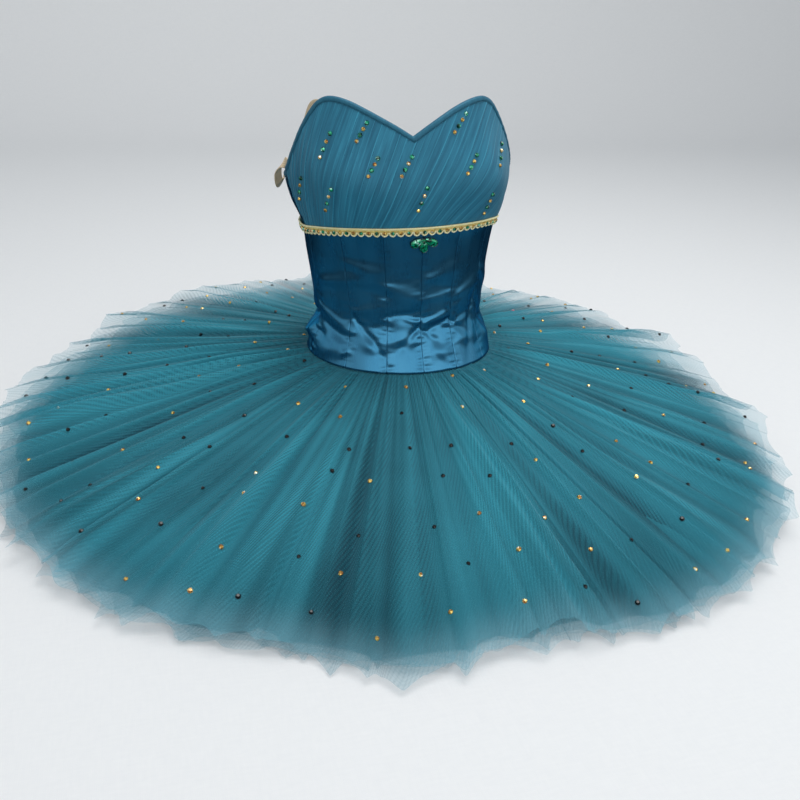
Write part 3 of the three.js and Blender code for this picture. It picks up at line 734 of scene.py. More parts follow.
def cap_ends(piece):
    """Closes the open ends of a tube."""
    tube = bmesh.new()
    tube.from_mesh(piece.data)
    bmesh.ops.holes_fill(tube, edges=[e for e in tube.edges if e.is_boundary], sides=0)
    tube.to_mesh(piece.data)
    tube.free()
    return piece


def binding_piece(name, start, end, columns, outer):
    gap = degrees_for(SEAM_GAP) / 2
    inner = -2

    def place(u, v):
        angle = mix(start + gap, end - gap, u)
        down, out = closed_outline(BINDING_OUTLINE, v)
        low, top = below_top_edge(angle, BINDING_WIDTH), top_edge_at(angle)
        pull = 0.22 * np.sin(angle * 2.9 + 6 * down) * np.sin(angle * 0.7 + 1) * (out > 0.4)
        return body_points(angle, mix(top, low, down), mix(inner, outer, out) + pull)

    def flat_place(u, v, middle):
        return np.stack([u * abs(end - start) * 2.2, v * 30], axis=-1)

    return cap_ends(cloth_grid(name, columns, 28, place, flat_place, joined=True))


for name, start, end, columns, outer in (
        ("binding_front", -SIDE_SEAM, SIDE_SEAM, 220, 2.9),
        ("binding_back_left", SIDE_SEAM, 180, 90, 0.8),
        ("binding_back_right", -180, -SIDE_SEAM, 90, 0.8)):
    strip = binding_piece(name.replace("binding", "edge_binding"), start, end, columns, outer)
    dress(strip, BOUND, "satin", name)

# %% [markdown]
# ## Skirt of nets
# The skirt has many rounds of gathered net. A few sheets stand for them: the top one,
# the lowest one and some between, each a ring from the hip to its own uneven edge. Near
# the hip the net is packed so tight that it looks solid, and at the edge single layers
# show the table through them. Every fold starts as fine gathers, widens outwards and
# ends in a soft point. Whole-number ripples round the ring meet without a seam.

# %% Folds of the net
NET_EDGE = [
    (-180, 0.996), (-163, 1.012), (-147, 1.02), (-128, 0.97), (-112, 0.972), (-96, 0.996),
    (-78, 1.006), (-45, 1.014), (-26, 0.978), (-14, 1.002), (1, 0.96), (11, 0.99),
    (36, 1.024), (58, 1.0), (80, 0.978), (100, 0.978), (128, 1.012), (146, 0.974),
    (163, 0.98), (180, 0.996),
]
RAISED_SIDE = 163
SKIRT_RADIUS = 500
NET_LENGTH = 400
NET_SAG = 1.08
net_share_at = table_curve(*zip(*NET_EDGE))


def fold_edges(count):
    """Angles where the folds of a ring meet, unevenly spaced."""
    i = np.arange(count)
    widths = 1 + 0.28 * np.sin(i * 2.4) + 0.17 * np.sin(i * 1.1 + 2)
    return np.concatenate([[0], np.cumsum(widths)]) * 360 / widths.sum() - 180


def ripples(angle, reach, lowest, highest, seed, drift=1.5):
    """A sum of whole-number waves round the ring, about 1 high."""
    chance = np.random.default_rng(seed)
    total = np.zeros(np.shape(angle))
    for count in chance.integers(lowest, highest, 9):
        phase = chance.uniform(0, 2 * np.pi)
        total += np.sin(count * np.radians(angle) + phase + chance.uniform(-drift, drift) * reach)
    return total / 3


def net_spot(layer, u, v):
    """Angle, reach from hip to edge, fold number, place across it and its width."""
    angle = -180 + 360 * u
    edges = fold_edges(layer["folds"])
    fold = np.clip(np.searchsorted(edges, angle, side="right") - 1, 0, layer["folds"] - 1)
    share = (angle - edges[fold]) / (edges[fold + 1] - edges[fold])
    return angle, 1 - v, fold, share, edges[fold + 1] - edges[fold]


def creased_folds(layer, angle, reach):
    """Folds laid over at random: each has one steep side and one that runs out."""
    chance = np.random.default_rng(layer["seed"] + 6)
    total = np.zeros(np.shape(angle))
    for _ in range(layer["creases"]):
        middle, start = chance.uniform(-180, 180), chance.uniform(-0.1, 0.62)
        half_width, steep = chance.uniform(1.4, 4.4), chance.uniform(0.1, 0.3)
        rise, drift = chance.uniform(0.35, 1.0), chance.uniform(-4, 4)
        away = (angle - middle - drift * (reach - 0.5) + 180) % 360 - 180
        width = half_width * np.where(away < 0, 1, steep) * mix(0.6, 1.2, reach)
        total += rise * bell(away / width) * smooth((reach - start) / 0.3)
    return total


def net_folds(layer, u, v):
    """Height of all the folds in mm, without the sag."""
    angle, reach, fold, share, _ = net_spot(layer, u, v)
    seed = layer["seed"]
    crest = 1.5 * np.abs(np.cos(np.pi * share)) ** 0.9 - 0.5
    crest = crest * (0.6 + 0.4 * np.sin(fold * 1.9 + 0.6))
    return (layer["fold_height"] * crest * reach ** 0.7
            + layer["crease"] * creased_folds(layer, angle, reach)
            + layer["broad"] * ripples(angle, reach, 5, 15, seed + 1) * reach ** 1.3
            + layer["medium"] * ripples(angle, reach, 30, 95, seed + 2, 4) * reach ** 0.8
            + layer["fine"] * ripples(angle, reach, 150, 330, seed + 4, 2)
            * smooth(reach / 0.05) * (1.1 - reach))


def pointed_tips(layer, angle):
    """How far the edge's curled points stand out beyond it."""
    chance = np.random.default_rng(layer["seed"] + 7)
    tips = list(layer["tips"])
    middle = -170.0
    while middle < 175:
        if not any(abs(middle - tip[0]) < 6 for tip in tips):
            tips.append((middle, chance.uniform(4, layer["tip"]), chance.uniform(0.5, 1.1)))
        middle += chance.uniform(4, 9)
    total = np.zeros(np.shape(angle))
    for middle, length, half_width in tips:
        total += length * np.exp(-np.abs((angle - middle) / half_width) ** 1.3)
    return total


def net_points(layer, u, v):
    """Points of a layer of net, in millimetres."""
    angle, reach, fold, share, width = net_spot(layer, u, v)
    chance = np.random.default_rng(layer["seed"])
    lean = chance.uniform(-0.16, 0.16, layer["folds"])
    turned = angle + width * lean[fold] * np.sin(2 * np.pi * share) * reach
    turned = turned + 0.55 * ripples(angle, reach, 9, 24, layer["seed"] + 5) * reach
    raised = (1 - np.cos(np.radians(turned - RAISED_SIDE + 180))) / 2
    edge = mix(layer["low"], layer["high"], raised)
    ragged = layer["ragged"] * ripples(angle, 0, 7, 40, layer["seed"] + 3)
    tips = pointed_tips(layer, angle)
    radius = SKIRT_RADIUS * net_share_at(turned) - layer["inset"] + ragged + tips - 5
    root = body_points(turned, np.full_like(turned, layer["hip"]), -2)
    rim = np.stack([radius * np.sin(np.radians(turned)) + SKIRT_MIDDLE[0],
                    -radius * np.cos(np.radians(turned)) + SKIRT_MIDDLE[1],
                    np.zeros_like(turned)], axis=-1)
    points = root + (rim - root) * reach[:, None]
    curl = layer["curl"] * smooth((reach - 0.88) / 0.12) * (0.5 + tips / 15)
    height = mix(layer["hip"], edge, reach ** NET_SAG) + net_folds(layer, u, v) - curl
    points[:, 2] = np.maximum(height, layer["floor"])
    return points


#           angle, length and half width in degrees of a point of the top net's edge
FRONT_TIPS = [
    (-62, 18, 0.7), (-52.5, 5, 0.7), (-43, 11, 1.0), (-33, 6, 0.7), (-21, 13, 0.8),
    (-17.5, 8, 0.6), (-13, 17, 1.2), (-7.5, 17, 1.0), (1.5, 7, 0.6), (6.5, 8, 0.7),
    (14.5, 12, 0.8), (21.5, 9, 0.9), (30, 5, 0.7), (35.5, 8, 0.9), (44.5, 13, 0.9),
]
LAYERS = [
    {"name": "top", "hip": 110.6, "low": 14, "high": 40, "inset": 0, "folds": 60,
     "fold_height": 3.4, "crease": 6.4, "creases": 150, "tips": FRONT_TIPS, "tip": 15,
     "ragged": 3, "broad": 3.4, "medium": 1.9, "fine": 0.6, "curl": 6, "floor": 2.5,
     "seed": 11, "columns": 1560, "rows": 50, "thin": (0.97, 0.68, 0.33)},
    {"name": "second", "hip": 98, "low": 10, "high": 33, "inset": 5, "folds": 48,
     "fold_height": 2.6, "crease": 3, "creases": 60, "tips": [], "tip": 17,
     "ragged": 6, "broad": 3, "medium": 1.6, "fine": 0.4, "curl": 5, "floor": 2.0,
     "seed": 23, "columns": 960, "rows": 36, "thin": (0.95, 0.6, 0.3)},
    {"name": "third", "hip": 80, "low": 7.5, "high": 26, "inset": 11, "folds": 42,
     "fold_height": 2, "crease": 2, "creases": 50, "tips": [], "tip": 16,
     "ragged": 8, "broad": 2.5, "medium": 1.2, "fine": 0.3, "curl": 4, "floor": 1.5,
     "seed": 37, "columns": 840, "rows": 32, "thin": (0.95, 0.6, 0.3)},
    {"name": "middle", "hip": 62, "low": 5.5, "high": 20, "inset": 20, "folds": 30,
     "fold_height": 1.6, "crease": 1, "creases": 40, "tips": [], "tip": 14,
     "ragged": 8, "broad": 1.2, "medium": 1.0, "fine": 0.2, "curl": 2, "floor": 1.0,
     "seed": 41, "columns": 720, "rows": 28, "thin": (0.97, 0.6, 0.2)},
    {"name": "base", "hip": 1.5, "low": 1.5, "high": 1.5, "inset": 26, "folds": 36,
     "fold_height": 0.3, "crease": 0, "creases": 0, "tips": [], "tip": 14,
     "ragged": 6, "broad": 0, "medium": 0.2, "fine": 0, "curl": 0, "floor": 0.4,
     "seed": 53, "columns": 540, "rows": 24, "thin": (1.0, 0.8, 0.25)},
]
print(len(LAYERS), "sheets of net")

# %% [markdown]
# ## Net
# Tulle is a mesh of hexagons about 2 mm across. At this distance it shows as a faint
# slanting grain and lets part of the light through, more where it is single and less
# where folds crowd. So its opacity comes from how dense the net is at each point, kept
# on the mesh, and the grain is drawn on the flat cloth of each fold.

# %% Net material
NET_PITCH = 3.0


def net_material(name, light, dark, turn):
    material, start, shader = new_material(name)
    across, along, _ = flat_cloth(start).parts()
    first = ((across * math.cos(turn) + along * math.sin(turn)) / (NET_PITCH * MM)).stripe()
    second = ((across * math.sin(turn) - along * math.cos(turn)) / (NET_PITCH * MM)).stripe()
    threads = (first ** 1.5 * 0.75 + second ** 2 * 0.35).smallest(1)
    weight = start.node("ShaderNodeAttribute", {"attribute_name": "net_weight"}, None, 2)
    rise = start.node("ShaderNodeAttribute", {"attribute_name": "fold_height"}, None, 2)
    edge = start.node("ShaderNodeAttribute", {"attribute_name": "near_edge"}, None, 2)
    clouds = start.node("ShaderNodeTexCoord", None, None, 3).noise(9, 3)
    # Painted shade and light: from the fold height kept on the mesh, the tone is darker in the
    # hollows of the folds and paler on their crests, besides random clouds and the net's threads.
    tone = (rise * 1.15 + clouds * 0.4 - threads * 0.44 - 0.08).step(0.0, 1.0)
    opacity = (weight * (0.72 + threads * 0.6)).smallest(1)
    # Painted light: towards its edge the net is blended to a pale blue-grey, standing in for light
    # that comes through the thin layers.
    set_shader(start, shader,
               Base_Color=(edge * 0.65).blend(tone.blend(dark, light), colour(132, 190, 206)),
               Roughness=0.75,
               Alpha=opacity,
               Normal=bump(start, threads, 0.3, 0.5),
               Sheen_Weight=0.15,
               Sheen_Roughness=0.4,
               Specular_IOR_Level=0.25)
    return material


NET = net_material("tulle", colour(54, 151, 170), colour(5, 60, 75), 0.3)
# Painted shade: the lower sheets get a darker copy of the same tulle, with its grain turned a little
# more, standing in for the shade under the upper sheets.
NET_SHADED_UNDER = net_material("tulle_under_shaded", colour(40, 132, 150), colour(5, 56, 70), 0.42)
print("materials:", NET.name, NET_SHADED_UNDER.name)


# %% Layers of net
def net_flat(layer):
    def flat_place(u, v, middle):
        angle, reach, *_ = net_spot(layer, u, v)
        _, _, _, share, width = net_spot(layer, middle, v)
        centre = -180 + 360 * middle - (share - 0.5) * width
        radius = mix(110, SKIRT_RADIUS, reach)
        return np.stack([np.radians(angle - centre) * radius + centre * 7.3, radius], axis=-1)
    return flat_place


def net_density(layer):
    """How dense the net is at each point, its fold height for painted shade and light, and its
    nearness to the edge for a painted pale rim.
    """
    def extra(u, v):
        angle, reach, *_ = net_spot(layer, u, v)
        hip, middle, edge = layer["thin"]
        weight = np.interp(reach, [0, 0.3, 0.66, 0.87, 1],
                           [hip, mix(hip, middle, 0.4), middle, mix(middle, edge, 0.6), edge])
        relief = net_folds(layer, u, v)
        tall = layer["fold_height"] + 0.6 * layer["crease"] + 2
        folded = np.clip(0.45 + 0.5 * relief / tall, 0, 1)
        crowd = ripples(angle, reach, 40, 130, layer["seed"] + 2, 4)
        weight = weight * (1.12 - 0.3 * folded + 0.14 * crowd)
        # The last share paints the net paler near its edge, as painted light coming through it.
        return {"net_weight": np.clip(weight, 0.12, 1), "fold_height": folded,
                "near_edge": smooth((reach - 0.84) / 0.16) ** 2}
    return extra


for layer in LAYERS:
    sheet = cloth_grid(f"skirt_net_{layer['name']}", layer["columns"], layer["rows"],
                       lambda u, v, layer=layer: net_points(layer, u, v), net_flat(layer),
                       joined=True, extra=net_density(layer))
    nodes = [f"net_{layer['name']}_{gore}" for gore in range(1, 7)]
    shown = [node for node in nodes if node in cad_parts]
    area = area_of(sheet)
    dress(sheet, NET if layer["name"] in ("top", "second") else NET_SHADED_UNDER, "net", *shown)
    round_edge = 2 * math.pi * (SKIRT_RADIUS - layer["inset"]) * MM
    lay_flat(sheet, round_edge, NET_LENGTH * MM, area, "gathered", *BRIEF_PIECES)
    print(layer["name"], "net", round(area, 2), "square metres")

# %% [markdown]
# ## Brief and gusset
# Under the skirt the nets are sewn in rows to a brief. Little of it shows, but the top
# and the leg holes look into it, so it is a knitted wall with its ribs going up.

# %% Brief
def knit_material():
    material, start, shader = new_material("brief_knit")
    across, along, _ = flat_cloth(start).parts()
    ribs = (across / (1.4 * MM)).stripe()
    rows = (along / (1.1 * MM)).stripe()
    patch = flat_cloth(start).noise(30, 2)
    set_shader(start, shader,
               Base_Color=(ribs * 0.5 + patch * 0.5).blend(colour(16, 62, 74), colour(38, 104, 116)),
               Roughness=0.8,
               Normal=bump(start, ribs * 0.7 + rows * 0.3, 0.25, 0.5),
               Sheen_Weight=0.3)
    return material


KNIT = knit_material()
BRIEF_TOP = 114
BRIEF_OUT = -2.3
BRIEF_WALL = 1.2
BRIEF_WIDTH, BRIEF_LENGTH = 375, 118
GUSSET_WIDTH, GUSSET_LENGTH = 84, 190
GUSSET_CLEAR = 5.2


def brief_piece(name, start, end):
    gap = degrees_for(SEAM_GAP) / 2

    def place(u, v):
        angle = mix(start + gap, end - gap, u)
        return body_points(angle, BRIEF_TOP * v, BRIEF_OUT)

    def flat_place(u, v, middle):
        return np.stack([u * BRIEF_WIDTH, v * BRIEF_TOP], axis=-1)

    return thicken(cloth_grid(name, 90, 26, place, flat_place), BRIEF_WALL)


for half, start, end in (("front", -90, 90), ("back", 90, 270)):
    brief = brief_piece(f"knit_brief_{half}", start, end)
    dress(brief, KNIT, "net", f"brief_{half}")
    lay_flat(brief, BRIEF_WIDTH * MM, BRIEF_LENGTH * MM, area_of(brief), "stretched",
             "knit_gusset")


def gusset_place(u, v):
    """The strip that joins the front to the back between the legs."""
    across, along = GUSSET_WIDTH * (u - 0.5), 2 * v - 1
    taper = mix(0.72, 1, along * along)
    depth = np.where(along < 0, front_depth_at(0), back_depth_at(0))
    bow = np.sqrt(1 - (across / (half_width_at(0) - GUSSET_CLEAR)) ** 2)
    x = across * taper + BODY_SHIFT[0] + SKIRT_MIDDLE[0]
    y = along * (depth - GUSSET_CLEAR) * bow + BODY_SHIFT[1] + SKIRT_MIDDLE[1]
    return np.stack([x, y, np.full_like(x, 1.5)], axis=-1)


def gusset_flat(u, v, middle):
    return np.stack([u * GUSSET_WIDTH, v * GUSSET_LENGTH], axis=-1)


gusset = thicken(cloth_grid("knit_gusset", 30, 60, gusset_place, gusset_flat), BRIEF_WALL)
dress(gusset, KNIT, "net", "brief_gusset")
lay_flat(gusset, GUSSET_WIDTH * MM, GUSSET_LENGTH * MM, area_of(gusset), "stretched",
         *BRIEF_PIECES)
print(len(BRIEF_PIECES), "halves of the brief, and a gusset")

# %% [markdown]
# ## Elastic straps
# Two flat elastics run slack inside the bodice, and one loops out at the side. A strap
# is a flat outline carried along a curve through a few given places. The curve is the
# same kind as in the solids, so the elastic keeps to its sewn ends.

# %% Straps
STRAP_WIDTH = 13
STRAP_CLOTH = 1.4
#           angle, height, out from the satin, tilt
STRAP_RIGHT = [
    (-44, 394, -4.1, 0), (-48, 412, -4.4, 0), (-53, 411, -5.5, 0), (-59, 392, -7, 0),
    (-69, 360, -8, 0), (-82, 340, -9, 0), (-94, 336, -8, 0), (-101, 338, -1, 10),
    (-105, 327, 9, 30), (-109, 312, 13, 30), (-113, 312, 12, 25), (-117, 326, 6, 20),
    (-121, 333, -3, 10), (-127, 321, -8, 0), (-134, 304, -3.2, 0),
]
STRAP_LEFT = [
    (44, 394, -4.9, 0), (50, 396, -7, 0), (58, 370, -8, 0), (68, 340, -8, 0),
    (80, 316, -8, 0), (94, 300, -8, 0), (110, 294, -7, 0), (124, 297, -6, 0),
    (134, 304, -3.6, 0),
]


def elastic_material():
    material, start, shader = new_material("elastic")
    across, along, _ = flat_cloth(start).parts()
    ribs = (across / (1.1 * MM)).stripe()
    knit = (along / (0.8 * MM)).stripe()
    patch = flat_cloth(start).noise(45, 2)
    set_shader(start, shader,
               Base_Color=(ribs * 0.45 + patch * 0.55).blend(colour(176, 146, 104),
                                                             colour(236, 220, 188)),
               Roughness=0.8,
               Normal=bump(start, ribs * 0.7 + knit * 0.3, 0.3, 0.6),
               Sheen_Weight=0.2)
    return material


ELASTIC = elastic_material()


def centripetal(points, share):
    """Points and directions of a centripetal curve through some points."""
    ends = np.concatenate([[2 * points[0] - points[1]], points, [2 * points[-1] - points[-2]]])
    place = np.clip(share, 0, 1 - 1e-9) * (len(points) - 1)
    i = place.astype(int)
    u = (place - i)[:, None]
    p0, p1, p2, p3 = (ends[i + k] for k in range(4))
    pairs = ((p0, p1), (p1, p2), (p2, p3))
    d0, d1, d2 = (np.linalg.norm(b - a, axis=1)[:, None] ** 0.5 for a, b in pairs)
    leave = ((p1 - p0) / d0 - (p2 - p0) / (d0 + d1) + (p2 - p1) / d1) * d1
    arrive = ((p2 - p1) / d1 - (p3 - p1) / (d1 + d2) + (p3 - p2) / d2) * d1
    square, cube = -3 * p1 + 3 * p2 - 2 * leave - arrive, 2 * p1 - 2 * p2 + leave + arrive
    along = leave + 2 * square * u + 3 * cube * u * u
    return (p1 + leave * u + square * u ** 2 + cube * u ** 3,
            along / np.linalg.norm(along, axis=1)[:, None])


def strap_piece(name, route):
    angle, height, out, tilt = np.array(route, float).T
    number = np.arange(len(route))
    tilt_at, angle_at = table_curve(number, tilt), table_curve(number, angle)
    points = body_points(angle, height, out)
    side = -np.sign(angle[0])

    def place(u, v):
        centre, along = centripetal(points, u)
        last = len(route) - 1
        turn, roll = np.radians(angle_at(u * last)), np.radians(tilt_at(u * last)) * side
        face = np.stack([np.sin(turn), -np.cos(turn), np.zeros_like(turn)], axis=-1)
        cos, sin = np.cos(roll)[:, None], np.sin(roll)[:, None]
        dot = (along * face).sum(axis=1)[:, None]
        face = face * cos + np.cross(along, face) * sin + along * dot * (1 - cos)
        across = np.cross(along, face)
        across /= np.linalg.norm(across, axis=1)[:, None]
        normal = np.cross(across, along)
        wide, deep = np.cos(2 * np.pi * v), np.sin(2 * np.pi * v)
        wide = np.sign(wide) * np.abs(wide) ** 0.35 * STRAP_WIDTH / 2
        deep = np.sign(deep) * np.abs(deep) ** 0.35 * STRAP_CLOTH / 2
        return centre + across * wide[:, None] + normal * deep[:, None]

    def flat_place(u, v, middle):
        wide = np.cos(2 * np.pi * v)
        return np.stack([wide * STRAP_WIDTH / 2, u * 300], axis=-1)

    return cap_ends(cloth_grid(name, 150, 20, place, flat_place, joined=True))


for side, route in (("left", STRAP_LEFT), ("right", STRAP_RIGHT)):
    dress(strap_piece(f"elastic_strap_{side}", route), ELASTIC, "elastic", f"strap_{side}")
    print("strap", side, "through", len(route), "places")

# %% [markdown]
# ## Gold braid
# A furnishing braid runs round under the bust: a twisted gold cord, a woven band and a
# row of looped scallops, each with a small stone. Every piece of it is first laid out
# flat, with one scallop copied along the row, and one function then bends it round.

# %% Braid
SCALLOP_PITCH = 8.3
braid_round = math.pi * (half_width_at(trim_at(0)) + front_depth_at(trim_at(0)))
SCALLOPS = round(braid_round / SCALLOP_PITCH)
BRAID_LIMIT = 180 - degrees_for(SEAM_GAP)


def gold_material(name, light, dark, pitch):
    material, start, shader = new_material(name)
    place = start.node("ShaderNodeTexCoord", None, None, 3)
    grain = place.noise(1400, 2)
    patch = place.noise(260, 2)
    strands = flat_cloth(start).parts()[0] / (pitch * MM)
    set_shader(start, shader,
               Base_Color=(grain * 0.5 + patch * 0.5).step(0.3, 0.7).blend(dark, light),
               Metallic=0.1,
               Roughness=0.36 + grain * 0.2,
               Normal=bump(start, strands.stripe() * 0.6 + grain * 0.4, 0.15, 0.6))
    return material


GOLD_CORD = gold_material("gold_cord", colour(255, 252, 218), colour(255, 236, 164), 0.8)
GOLD_BAND = gold_material("gold_band", colour(255, 236, 158), colour(190, 160, 84), 0.7)


def bend_round(flat):
    """Flat braid (along, down, out) in mm to points round the bodice."""
    angle = flat[:, 0] / (SCALLOPS * SCALLOP_PITCH) * 2 * BRAID_LIMIT - BRAID_LIMIT
    return body_points(angle, trim_at(angle) + 1.2 - flat[:, 1], flat[:, 2] + 0.4)


def braid_length():
    return SCALLOPS * SCALLOP_PITCH


def cord_piece(name, strand):
    """One of the two strands that twist round each other along the top."""
    turns = round(braid_length() / 3.4)

    def place(u, v):
        twist = 2 * np.pi * (turns * u + strand / 2)
        ring = 2 * np.pi * v
        down = 1.5 + 0.55 * np.cos(twist) + 0.8 * np.cos(ring)
        out = 2.5 + 0.5 * np.sin(twist) - 0.8 * np.sin(ring)
        return bend_round(np.stack([u * braid_length(), down, out], axis=-1))

    def flat_place(u, v, middle):
        return np.stack([u * braid_length() + v * 3, v * 6], axis=-1)

    return cap_ends(cloth_grid(name, turns * 8, 7, place, flat_place, joined=True))


def band_piece():
    """The woven band behind the scallops, with a wavy lower edge."""
    def place(u, v):
        along = u * braid_length()
        arch = np.abs(np.sin(np.pi * along / SCALLOP_PITCH)) ** 0.6
        down = mix(2.2, mix(0.7, 0.97, arch) * TRIM_WIDTH, 1 - v)
        ripple = 0.3 * np.sin(2 * np.pi * along / 2.1) * np.sin(np.pi * v)
        return bend_round(np.stack([along, down, 1.5 + ripple], axis=-1))

    def flat_place(u, v, middle):
        return np.stack([u * braid_length(), v * TRIM_WIDTH], axis=-1)

    return thicken(cloth_grid("gold_band", SCALLOPS * 10, 6, place, flat_place), 0.6)


def flat_mesh(name, shape):
    """Makes a mesh from a bmesh whose points are flat braid places in mm, and bends it."""
    mesh = bpy.data.meshes.new(name)
    shape.to_mesh(mesh)
    shape.free()
    flat = np.empty(len(mesh.vertices) * 3)
    mesh.vertices.foreach_get("co", flat)
    mesh.vertices.foreach_set("co", (bend_round(flat.reshape(-1, 3)) * MM).ravel())
    mesh.uv_layers.new(name="cloth")
    return new_object(name, mesh)


def scallop_loops():
    """A rounded cord arch for each scallop."""
    arch = bmesh.new()
    upright = Matrix.Translation((3.5, 0, 0)) @ Matrix.Rotation(math.pi / 2, 4, "X")
    ring = bmesh.ops.create_circle(arch, segments=6, radius=0.72, matrix=upright)
    edges = list({edge for vert in ring["verts"] for edge in vert.link_edges})
    bmesh.ops.spin(arch, geom=edges, cent=(0, 0, 0), axis=(0, 0, 1), angle=math.pi, steps=9,
                   use_merge=False)
    bmesh.ops.holes_fill(arch, edges=[e for e in arch.edges if e.is_boundary], sides=0)
    bmesh.ops.scale(arch, vec=(1, 1.35, 1), verts=arch.verts)
    bmesh.ops.recalc_face_normals(arch, faces=arch.faces)
    unit = arch.verts[:] + arch.edges[:] + arch.faces[:]
    bmesh.ops.translate(arch, vec=(SCALLOP_PITCH / 2, 5.4, 2.5), verts=arch.verts)
    for number in range(1, SCALLOPS):
        copy = bmesh.ops.duplicate(arch, geom=unit)["geom"]
        bmesh.ops.translate(arch, vec=(SCALLOP_PITCH * number, 0, 0),
                            verts=[g for g in copy if isinstance(g, bmesh.types.BMVert)])
    return flat_mesh("gold_scallops", arch)


dress(band_piece(), GOLD_BAND, "braid", "gold_braid")
for strand in range(2):
    dress(cord_piece(f"gold_cord_{strand + 1}", strand), GOLD_CORD, "braid")
loops = scallop_loops()
loops.data.shade_smooth()
dress(loops, GOLD_CORD, "braid")
print(SCALLOPS, "scallops")

# %% [markdown]
# ## Stones
# Flat-backed rhinestones are cut glass on a foil: a ring of slanting facets round a
# flat top. Each is an eight-sided cone with its tip cut off. The foil makes them mirror
# light like a coloured metal, so a tinted metallic finish under a clear coat fits them
# better than real glass would at this size.

# %% Stone materials
def stone_material(name, light, dark, glint, metallic=0.6, coat=1.0):
    material, start, shader = new_material(name)
    place = start.node("ShaderNodeTexCoord", None, None, 3)
    facet = place.node("ShaderNodeTexVoronoi", {"feature": "F1"},
                       {"Vector": place, "Scale": 480.0}, 1).parts()[0]
    # Painted reflections: each facet cell is painted lighter or darker at random, and the brightest
    # few are painted as pale glints, standing in for the light that cut facets catch.
    painted_facet_light = facet.step(0.2, 0.75).blend(dark, light)
    set_shader(start, shader,
               Base_Color=facet.step(0.92, 0.94).blend(painted_facet_light, glint),
               Metallic=metallic,
               Roughness=0.06 + facet * 0.1,
               Normal=bump(start, facet, 0.25, 0.4),
               Coat_Weight=coat)
    return material


EMERALD = stone_material("emerald_stone", colour(6, 172, 120), colour(0, 50, 36),
                         colour(190, 255, 230), 0.5)
AMBER = stone_material("gold_stone", colour(255, 216, 110), colour(160, 100, 18),
                       colour(255, 250, 226))
JET = stone_material("dark_stone", colour(4, 7, 9), colour(1, 2, 3), colour(20, 26, 30), 0.0, 0.0)
ROSE = stone_material("rose_stone", colour(236, 110, 140), colour(130, 24, 60),
                      colour(255, 214, 226))


def stand_on(point, normal, sideways):
    """A matrix that stands a shape up on a surface, in metres."""
    up = Vector(normal).normalized()
    side = (Vector(sideways) - up * Vector(sideways).dot(up)).normalized()
    turn = Matrix((side, up.cross(side), up)).transposed().to_4x4()
    return Matrix.Translation(Vector(point) * MM) @ turn


def add_stone(shape, matrix, radius, spin=0.0):
    """A cut stone of a radius in mm with a flat back."""
    turn = Matrix.Rotation(spin, 4, "Z")
    bmesh.ops.create_cone(shape, cap_ends=True, segments=8, radius1=radius * MM,
                          radius2=radius * 0.52 * MM, depth=radius * 0.62 * MM,
                          matrix=matrix @ turn @ Matrix.Translation((0, 0, radius * 0.5 * MM)))
    bmesh.ops.create_cone(shape, cap_ends=True, segments=8, radius1=radius * MM,
                          radius2=radius * MM, depth=radius * 0.22 * MM,
                          matrix=matrix @ turn @ Matrix.Translation((0, 0, radius * 0.1 * MM)))


def surface_frame(place, first, second):
    """Point, normal and first direction of a surface given by place(first, second)."""
    step = 0.05
    point = place(first, second)
    a = place(first + step, second) - point
    b = place(first, second + step) - point
    return point, np.cross(a, b), a


def stones_piece(name, shape, material):
    mesh = bpy.data.meshes.new(name)
    shape.to_mesh(mesh)
    shape.free()
    mesh.uv_layers.new(name="cloth")
    piece = new_object(name, mesh)
    return dress(piece, material, "stone")


print("materials:", EMERALD.name, AMBER.name, JET.name, ROSE.name)

# %% Stones of the braid and the bust
STONE_RADIUS = 2.45
BRAID_STONE_RADIUS = 2.2
BRAID_STONE_DOWN = 6.6
#           angle and height of the first and last of four stones, top to bottom
STONE_GROUPS = [
    (-39.5, 388, -45.5, 363), (-21.1, 401.5, -26.4, 383), (-17.8, 367, -23.4, 348.5),
    (-2.2, 369, -8.6, 349), (28.3, 412, 20.5, 394), (29.5, 370, 22.6, 351.6),
    (2.4, 336, -3.3, 310.6), (-62.6, 335, -71, 309), (-42.2, 331, -51, 304),
    (52.1, 377, 43.5, 356), (36.2, 325, 34.2, 302),
]


def overlay_surface(angle, height):
    """The pleats' crests, which the stones sit on."""
    return body_points(angle, height, OVERLAY_FACE + PLEAT_RISE * 0.85)


def braid_surface(along, up):
    """The face of the band, which the stones of the scallops sit on."""
    return bend_round(np.array([[along, -up, 2.1]]))[0]


shapes = {"emerald": bmesh.new(), "gold": bmesh.new()}
for top_angle, top_height, low_angle, low_height in STONE_GROUPS:
    for number in range(4):
        share = number / 3
        point, normal, side = surface_frame(overlay_surface, mix(top_angle, low_angle, share),
                                            mix(top_height, low_height, share))
        kind = "gold" if number % 2 else "emerald"
        size = STONE_RADIUS * (0.92 if number % 2 else 1.08)
        add_stone(shapes[kind], stand_on(point, normal, side), size, number * 0.7 + top_angle)
for number in range(SCALLOPS):
    along = SCALLOP_PITCH * (number + 0.5)
    point, normal, side = surface_frame(braid_surface, along, -BRAID_STONE_DOWN)
    kind = "gold" if number % 2 else "emerald"
    add_stone(shapes[kind], stand_on(point, normal, side), BRAID_STONE_RADIUS, number * 0.9)
stones_piece("stones_emerald", shapes["emerald"], EMERALD)
stones_piece("stones_gold", shapes["gold"], AMBER)
print(4 * len(STONE_GROUPS), "stones on the bust")

# %% [markdown]
# ## Stones of the skirt
# The top net carries single stones about 6 cm apart, gold and dark in turn. They are
# set out in rings with a little random shift, from a fixed seed, so that each run gives
# the same skirt, and each asks the net's own formula for the point that it sits on.

# %% Skirt stones
SKIRT_STONE_RADIUS = 2.6
